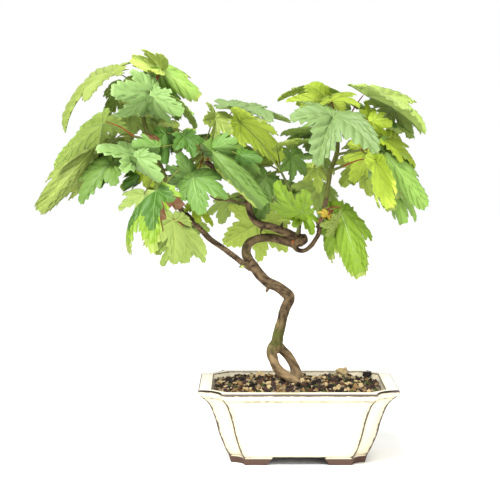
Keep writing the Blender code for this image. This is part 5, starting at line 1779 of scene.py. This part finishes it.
# Each surface: roughness, gloss, size of its cells and their depth.
WAXY, MATT = (0.48, 0.22, 1.3, 0.3), (0.62, 0.1, 1.3, 0.3)
WITHERED, SMOOTH = (0.48, 0.1, 1.3, 0.3), (0.5, 0.3, 0.7, 0.1)
FINISHES = {}
for name, colour in BLADE_TINTS.items():
    surface = MATT if "under" in name else WITHERED if "dead" in name else WAXY
    FINISHES[name] = tissue(name, colour, *surface)
for name, colour in {**VEIN_TINTS, **STALK_TINTS}.items():
    FINISHES[name] = tissue(name, colour, *SMOOTH)
print("finishes:", len(FINISHES))

# %% One side of a blade, and what is dealt to its faces
FINE_RINGS = np.array([0.05, 0.12, *np.linspace(0.2, 1.0, 14)])
PLAIN_RINGS = np.array([0.12, *np.linspace(0.3, 1.0, 6)])


def sheet_of(row, outline, veins, waves, rings, lift):
    """One side of a blade: its points, its faces from the middle out, and each face's mark."""
    marks = np.vstack([[(0.0, 0.0)]] + [outline * (1, ring) for ring in rings])
    points = blade_points(row, marks, relief(row, marks, veins, waves) + lift)
    edge = len(outline)
    faces = [(0, 1 + i, 1 + (i + 1) % edge) for i in range(edge)]
    spots = [(degrees, rings[0] / 2) for degrees, _ in outline]
    for inner, outer in zip(range(len(rings) - 1), rings[1:]):
        first = 1 + inner * edge
        share = (rings[inner] + outer) / 2
        for i in range(edge):
            after = (i + 1) % edge
            faces.append((first + i, first + edge + i, first + edge + after))
            faces.append((first + i, first + edge + after, first + after))
            spots += [(outline[i][0], share)] * 2
    return points, faces, spots


def laid_on(tree, places):
    """Where places lie on the facets that a search tree holds."""
    return np.array([tree.find_nearest(place)[0] for place in places.tolist()])


def dealt_tint(spot, plain, patches):
    """The tint at degrees and a share of the way out: a patch's, or the plain one."""
    degrees, share = spot
    for tint, start, end, inner in patches:
        if start <= degrees <= end and share > inner:
            return tint
    return plain


print("rings of a blade that shows:", len(FINE_RINGS), "and of a hidden one:", len(PLAIN_RINGS))

# %% A whole blade: two sheets a quarter of a millimetre apart, closed round the rim
THICKNESS = 0.26  # millimetres
MAIN_GIRTH, GIRTH_BY_LENGTH, MAIN_STEPS = 0.2, 0.005, 22
UNDER_VEIN, OVER_VEIN, SIDE_STEPS_OF_VEIN = 0.2, 0.13, 9
dice = random.Random(77)
vein_lines = {name: [] for name in VEIN_TINTS}
stalk_lines = {name: [] for name in STALK_TINTS}


def both_sides(row, outline, veins, waves, rings):
    """The blade's upper and lower sheets."""
    return [sheet_of(row, outline, veins, waves, rings, lift) for lift in (THICKNESS / 2, -THICKNESS / 2)]


def lay_veins(row, veins, waves, over, below, shown):
    """Puts the main veins through the blade, and the side veins on its sides."""
    tint = LOOKS[row["look"]][2]
    main_girth = MAIN_GIRTH + GIRTH_BY_LENGTH * blade_frame(row)[4]
    over_tree, below_tree = (BVHTree.FromPolygons(sheet[0].tolist(), sheet[1]) for sheet in (over, below))
    for start, end, width in veins:
        main = width > IS_MAIN
        marks = flat_marks(vein_line(start, end, MAIN_STEPS if main else SIDE_STEPS_OF_VEIN))
        route = blade_points(row, marks, relief(row, marks, veins, waves))
        shares = np.linspace(1, 0.5, len(route))
        on_below = laid_on(below_tree, route)
        if main:
            through = (laid_on(over_tree, route) + on_below) / 2
            vein_lines[tint].append((through, main_girth * width * shares))
            continue
        vein_lines[tint].append((on_below, UNDER_VEIN * shares))
        if shown:
            vein_lines[tint].append((laid_on(over_tree, route), OVER_VEIN * shares))


def blade(row, count, names, patches, shown):
    """A leaf's points, faces and the tint of each face; its veins join the vein lines."""
    outline, veins = fine_leaf(row, dice)
    waves = (dice.uniform(0, 6.28), dice.uniform(0, 6.28))
    rings = FINE_RINGS if shown else PLAIN_RINGS
    over, below = both_sides(row, outline, veins, waves, rings)
    lay_veins(row, veins, waves, over, below, shown)
    edge, under = len(outline), len(over[0])
    upper, lower = LOOKS[row["look"]][:2]
    faces = [tuple(reversed(face)) for face in over[1]]
    faces += [tuple(under + i for i in face) for face in below[1]]
    last, lowest = under - edge, under + len(below[0]) - edge
    faces += [(last + i, last + (i + 1) % edge, lowest + (i + 1) % edge, lowest + i) for i in range(edge)]
    tints = [names.index(dealt_tint(spot, upper, patches)) for spot in over[2]]
    tints += [names.index(dealt_tint(spot, lower, patches)) for spot in below[2]]
    tints += tints[len(over[2]) - 2 * edge : len(over[2]) : 2]
    return np.vstack([over[0], below[0]]), [tuple(i + count for i in face) for face in faces], tints


print("blades are", THICKNESS, "mm thick")

# %% Patches, and one piece for each mass
# Patches on the leaves that show, by mass and place in it: tint, from and to in degrees, and
# the share of the way out where each one starts.
PATCHES = {
    ("crown_left", 1): (("yellow_rim", -180, 180, 0.96),),
    ("crown_left", 3): (("grey_green", -180, 180, 0.92),),
    ("left_inner", 0): (("grey_green", -180, 180, 0.92),),
    ("left", 1): (("yellow_rim", -180, -20, 0.8),),
    ("left_inner", 3): (("yellow_rim", -60, 60, 0.94),),
    ("centre", 0): (
        ("dead_brown", -84, -70, 0.72), ("dead_brown", -128, -96, 0.72), ("yellow_rim", -68, -40, 0.9),
        ("yellow_rim", -14, 14, 0.9), ("apple_green", -180, 180, 0.7),
    ),
    ("centre", 4): (("yellow_rim", -180, -100, 0.88), ("yellow_rim", 120, 180, 0.88)),
    ("centre", 6): (("dead_brown", 60, 130, 0.5),),
    ("centre", 8): (("yellow_rim", -120, 120, 0.9),),
    ("centre", 10): (("sun_under", 6, 120, 0.72),),
    ("right", 0): (("yellow_rim", -180, 180, 0.93),),
    ("right_front", 0): (("yellow_rim", -180, 180, 0.95),),
    ("right_low", 0): (("yellow_rim", -30, 60, 0.95), ("dead_brown", 100, 116, 0.7)),
}
STALK_FOOT, FOOT_STEPS = 0.5, 1.2  # a stalk swells where it leaves the stem
SHARP_FROM = math.radians(60)
for mass, rows in LEAVES.items():
    patched = {patch[0] for place, patches in PATCHES.items() if place[0] == mass for patch in patches}
    names = sorted({name for row in rows for name in LOOKS[row["look"]][:2]} | patched)
    points, faces, tints = [], [], []
    stem = stem_route(SHOOTS[mass])
    stalk_lines["green_stem"].append((stem[:, :3], stem[:, 3]))
    for place, row in enumerate(rows):
        new_points, new_faces, new_tints = blade(
            row, sum(len(p) for p in points), names, PATCHES.get((mass, place), ()),
            place < len(SHOOTS[mass]["leaves"]),
        )
        points.append(new_points)
        faces += new_faces
        tints += new_tints
        stalk = smooth_route(petiole_route(row, stem), 5)
        stalk[:, 3] *= 1.0 + STALK_FOOT * np.exp(-np.arange(len(stalk)) / FOOT_STEPS)
        stalk_lines[LOOKS[row["look"]][3]].append((stalk[:, :3], stalk[:, 3]))
    finishes = [FINISHES[name] for name in names]
    piece = mesh_piece(f"leaves_{mass}", in_frame(np.vstack(points)), faces, finishes, tints)
    piece.data.set_sharp_from_angle(angle=SHARP_FROM)
    hand_over(piece, "leaf", f"foliage_{mass}")

# %% [markdown]
# ## Veins, stalks and stems
# These are all tubes that follow a line and taper, and so are the few buds and stipules. One
# tree of nodes makes them: it turns the lines into curves, takes the thickness that each
# point carries, and sweeps a circle.

# %% Buds, stipules and the thin stems of the bud cluster
# Each: its tint, then its points with their radii, in millimetres.
BUDS = (
    ("orange_stalk", ((-4, -3.5, 178, 0.7), (-4.2, -6, 176.8, 1.3), (-4.3, -7.4, 175.4, 0.3))),
    ("pale_stalk", ((-43, -5, 157, 0.7), (-45, -6.5, 157, 1.2), (-46.5, -7.5, 156, 0.3))),
    ("red_stalk", ((23, -14, 204, 0.5), (29, -17, 206, 0.45), (34, -18, 205, 0.3))),
    ("red_stalk", ((22, -13, 201, 0.5), (18, -17, 197, 0.45), (16, -18, 193, 0.3))),
    ("pale_stalk", ((-75, 0, 243, 1.0), (-71, -9, 250, 0.8), (-68, -13, 257, 0.5))),
    ("pale_stalk", ((-75, 0, 244, 1.0), (-74, -10, 252, 0.8), (-75, -14, 259, 0.4))),
    ("orange_stalk", ((-74, -2, 243, 0.9), (-67, -10, 246, 0.7), (-62, -14, 247, 0.4))),
)
for tint, rows in BUDS:
    line = smooth_route(rows, 4)
    stalk_lines[tint].append((line[:, :3], line[:, 3]))
print("lines:", sum(len(lines) for lines in (*vein_lines.values(), *stalk_lines.values())))

# %% A tree of nodes that sweeps tubes along lines
tubes = bpy.data.node_groups.new("tubes_on_lines", "GeometryNodeTree")
for name, kind in (
    ("Lines", "NodeSocketGeometry"), ("Sides", "NodeSocketInt"), ("Finish", "NodeSocketMaterial"),
):
    tubes.interface.new_socket(name, in_out="INPUT", socket_type=kind)
tubes.interface.new_socket("Tubes", in_out="OUTPUT", socket_type="NodeSocketGeometry")
given = add_node(tubes, "NodeGroupInput").outputs
thick = add_node(tubes, "GeometryNodeInputNamedAttribute", {"data_type": "FLOAT"}, {"Name": "thickness"})
curves = add_node(tubes, "GeometryNodeMeshToCurve", inputs={0: given["Lines"]})
round_rod = add_node(
    tubes, "GeometryNodeCurvePrimitiveCircle", inputs={"Resolution": given["Sides"], "Radius": 1.0}
)
wide = add_node(
    tubes, "GeometryNodeSetCurveRadius", inputs={"Curve": curves.outputs[0], "Radius": thick.outputs[0]}
)
swept = add_node(
    tubes, "GeometryNodeCurveToMesh",
    inputs={
        "Curve": wide.outputs[0], "Profile Curve": round_rod.outputs[0], "Scale": thick.outputs[0],
        "Fill Caps": True,
    },
)
real = add_node(tubes, "GeometryNodeRealizeInstances", inputs={0: swept.outputs[0]})
dressed = add_node(
    tubes, "GeometryNodeSetMaterial", inputs={"Geometry": real.outputs[0], "Material": given["Finish"]}
)
add_node(tubes, "NodeGroupOutput", inputs={0: dressed.outputs[0]})


def sweep(name, lines, sides, finish):
    """One piece from many lines of points and thicknesses in millimetres."""
    points, edges, widths, count = [], [], [], 0
    for route, girth in lines:
        points.append(route)
        widths.append(girth)
        edges += [(count + i, count + i + 1) for i in range(len(route) - 1)]
        count += len(route)
    mesh = bpy.data.meshes.new(name)
    mesh.from_pydata(in_frame(np.vstack(points)).tolist(), edges, [])
    thickness = mesh.attributes.new("thickness", "FLOAT", "POINT")
    thickness.data.foreach_set("value", (np.concatenate(widths) * MM).astype(np.float32))
    piece = bpy.data.objects.new(name, mesh)
    bpy.context.scene.collection.objects.link(piece)
    grow(piece, tubes, Sides=sides, Finish=finish)
    for face in piece.data.polygons:
        face.use_smooth = len(face.vertices) == 4
    hand_over(piece, "leaf")


VEIN_SIDES, STALK_SIDES = 3, 8
for name, lines in vein_lines.items():
    sweep(name, lines, VEIN_SIDES, FINISHES[name])
for name, lines in stalk_lines.items():
    sweep(name, lines, STALK_SIDES, FINISHES[name])
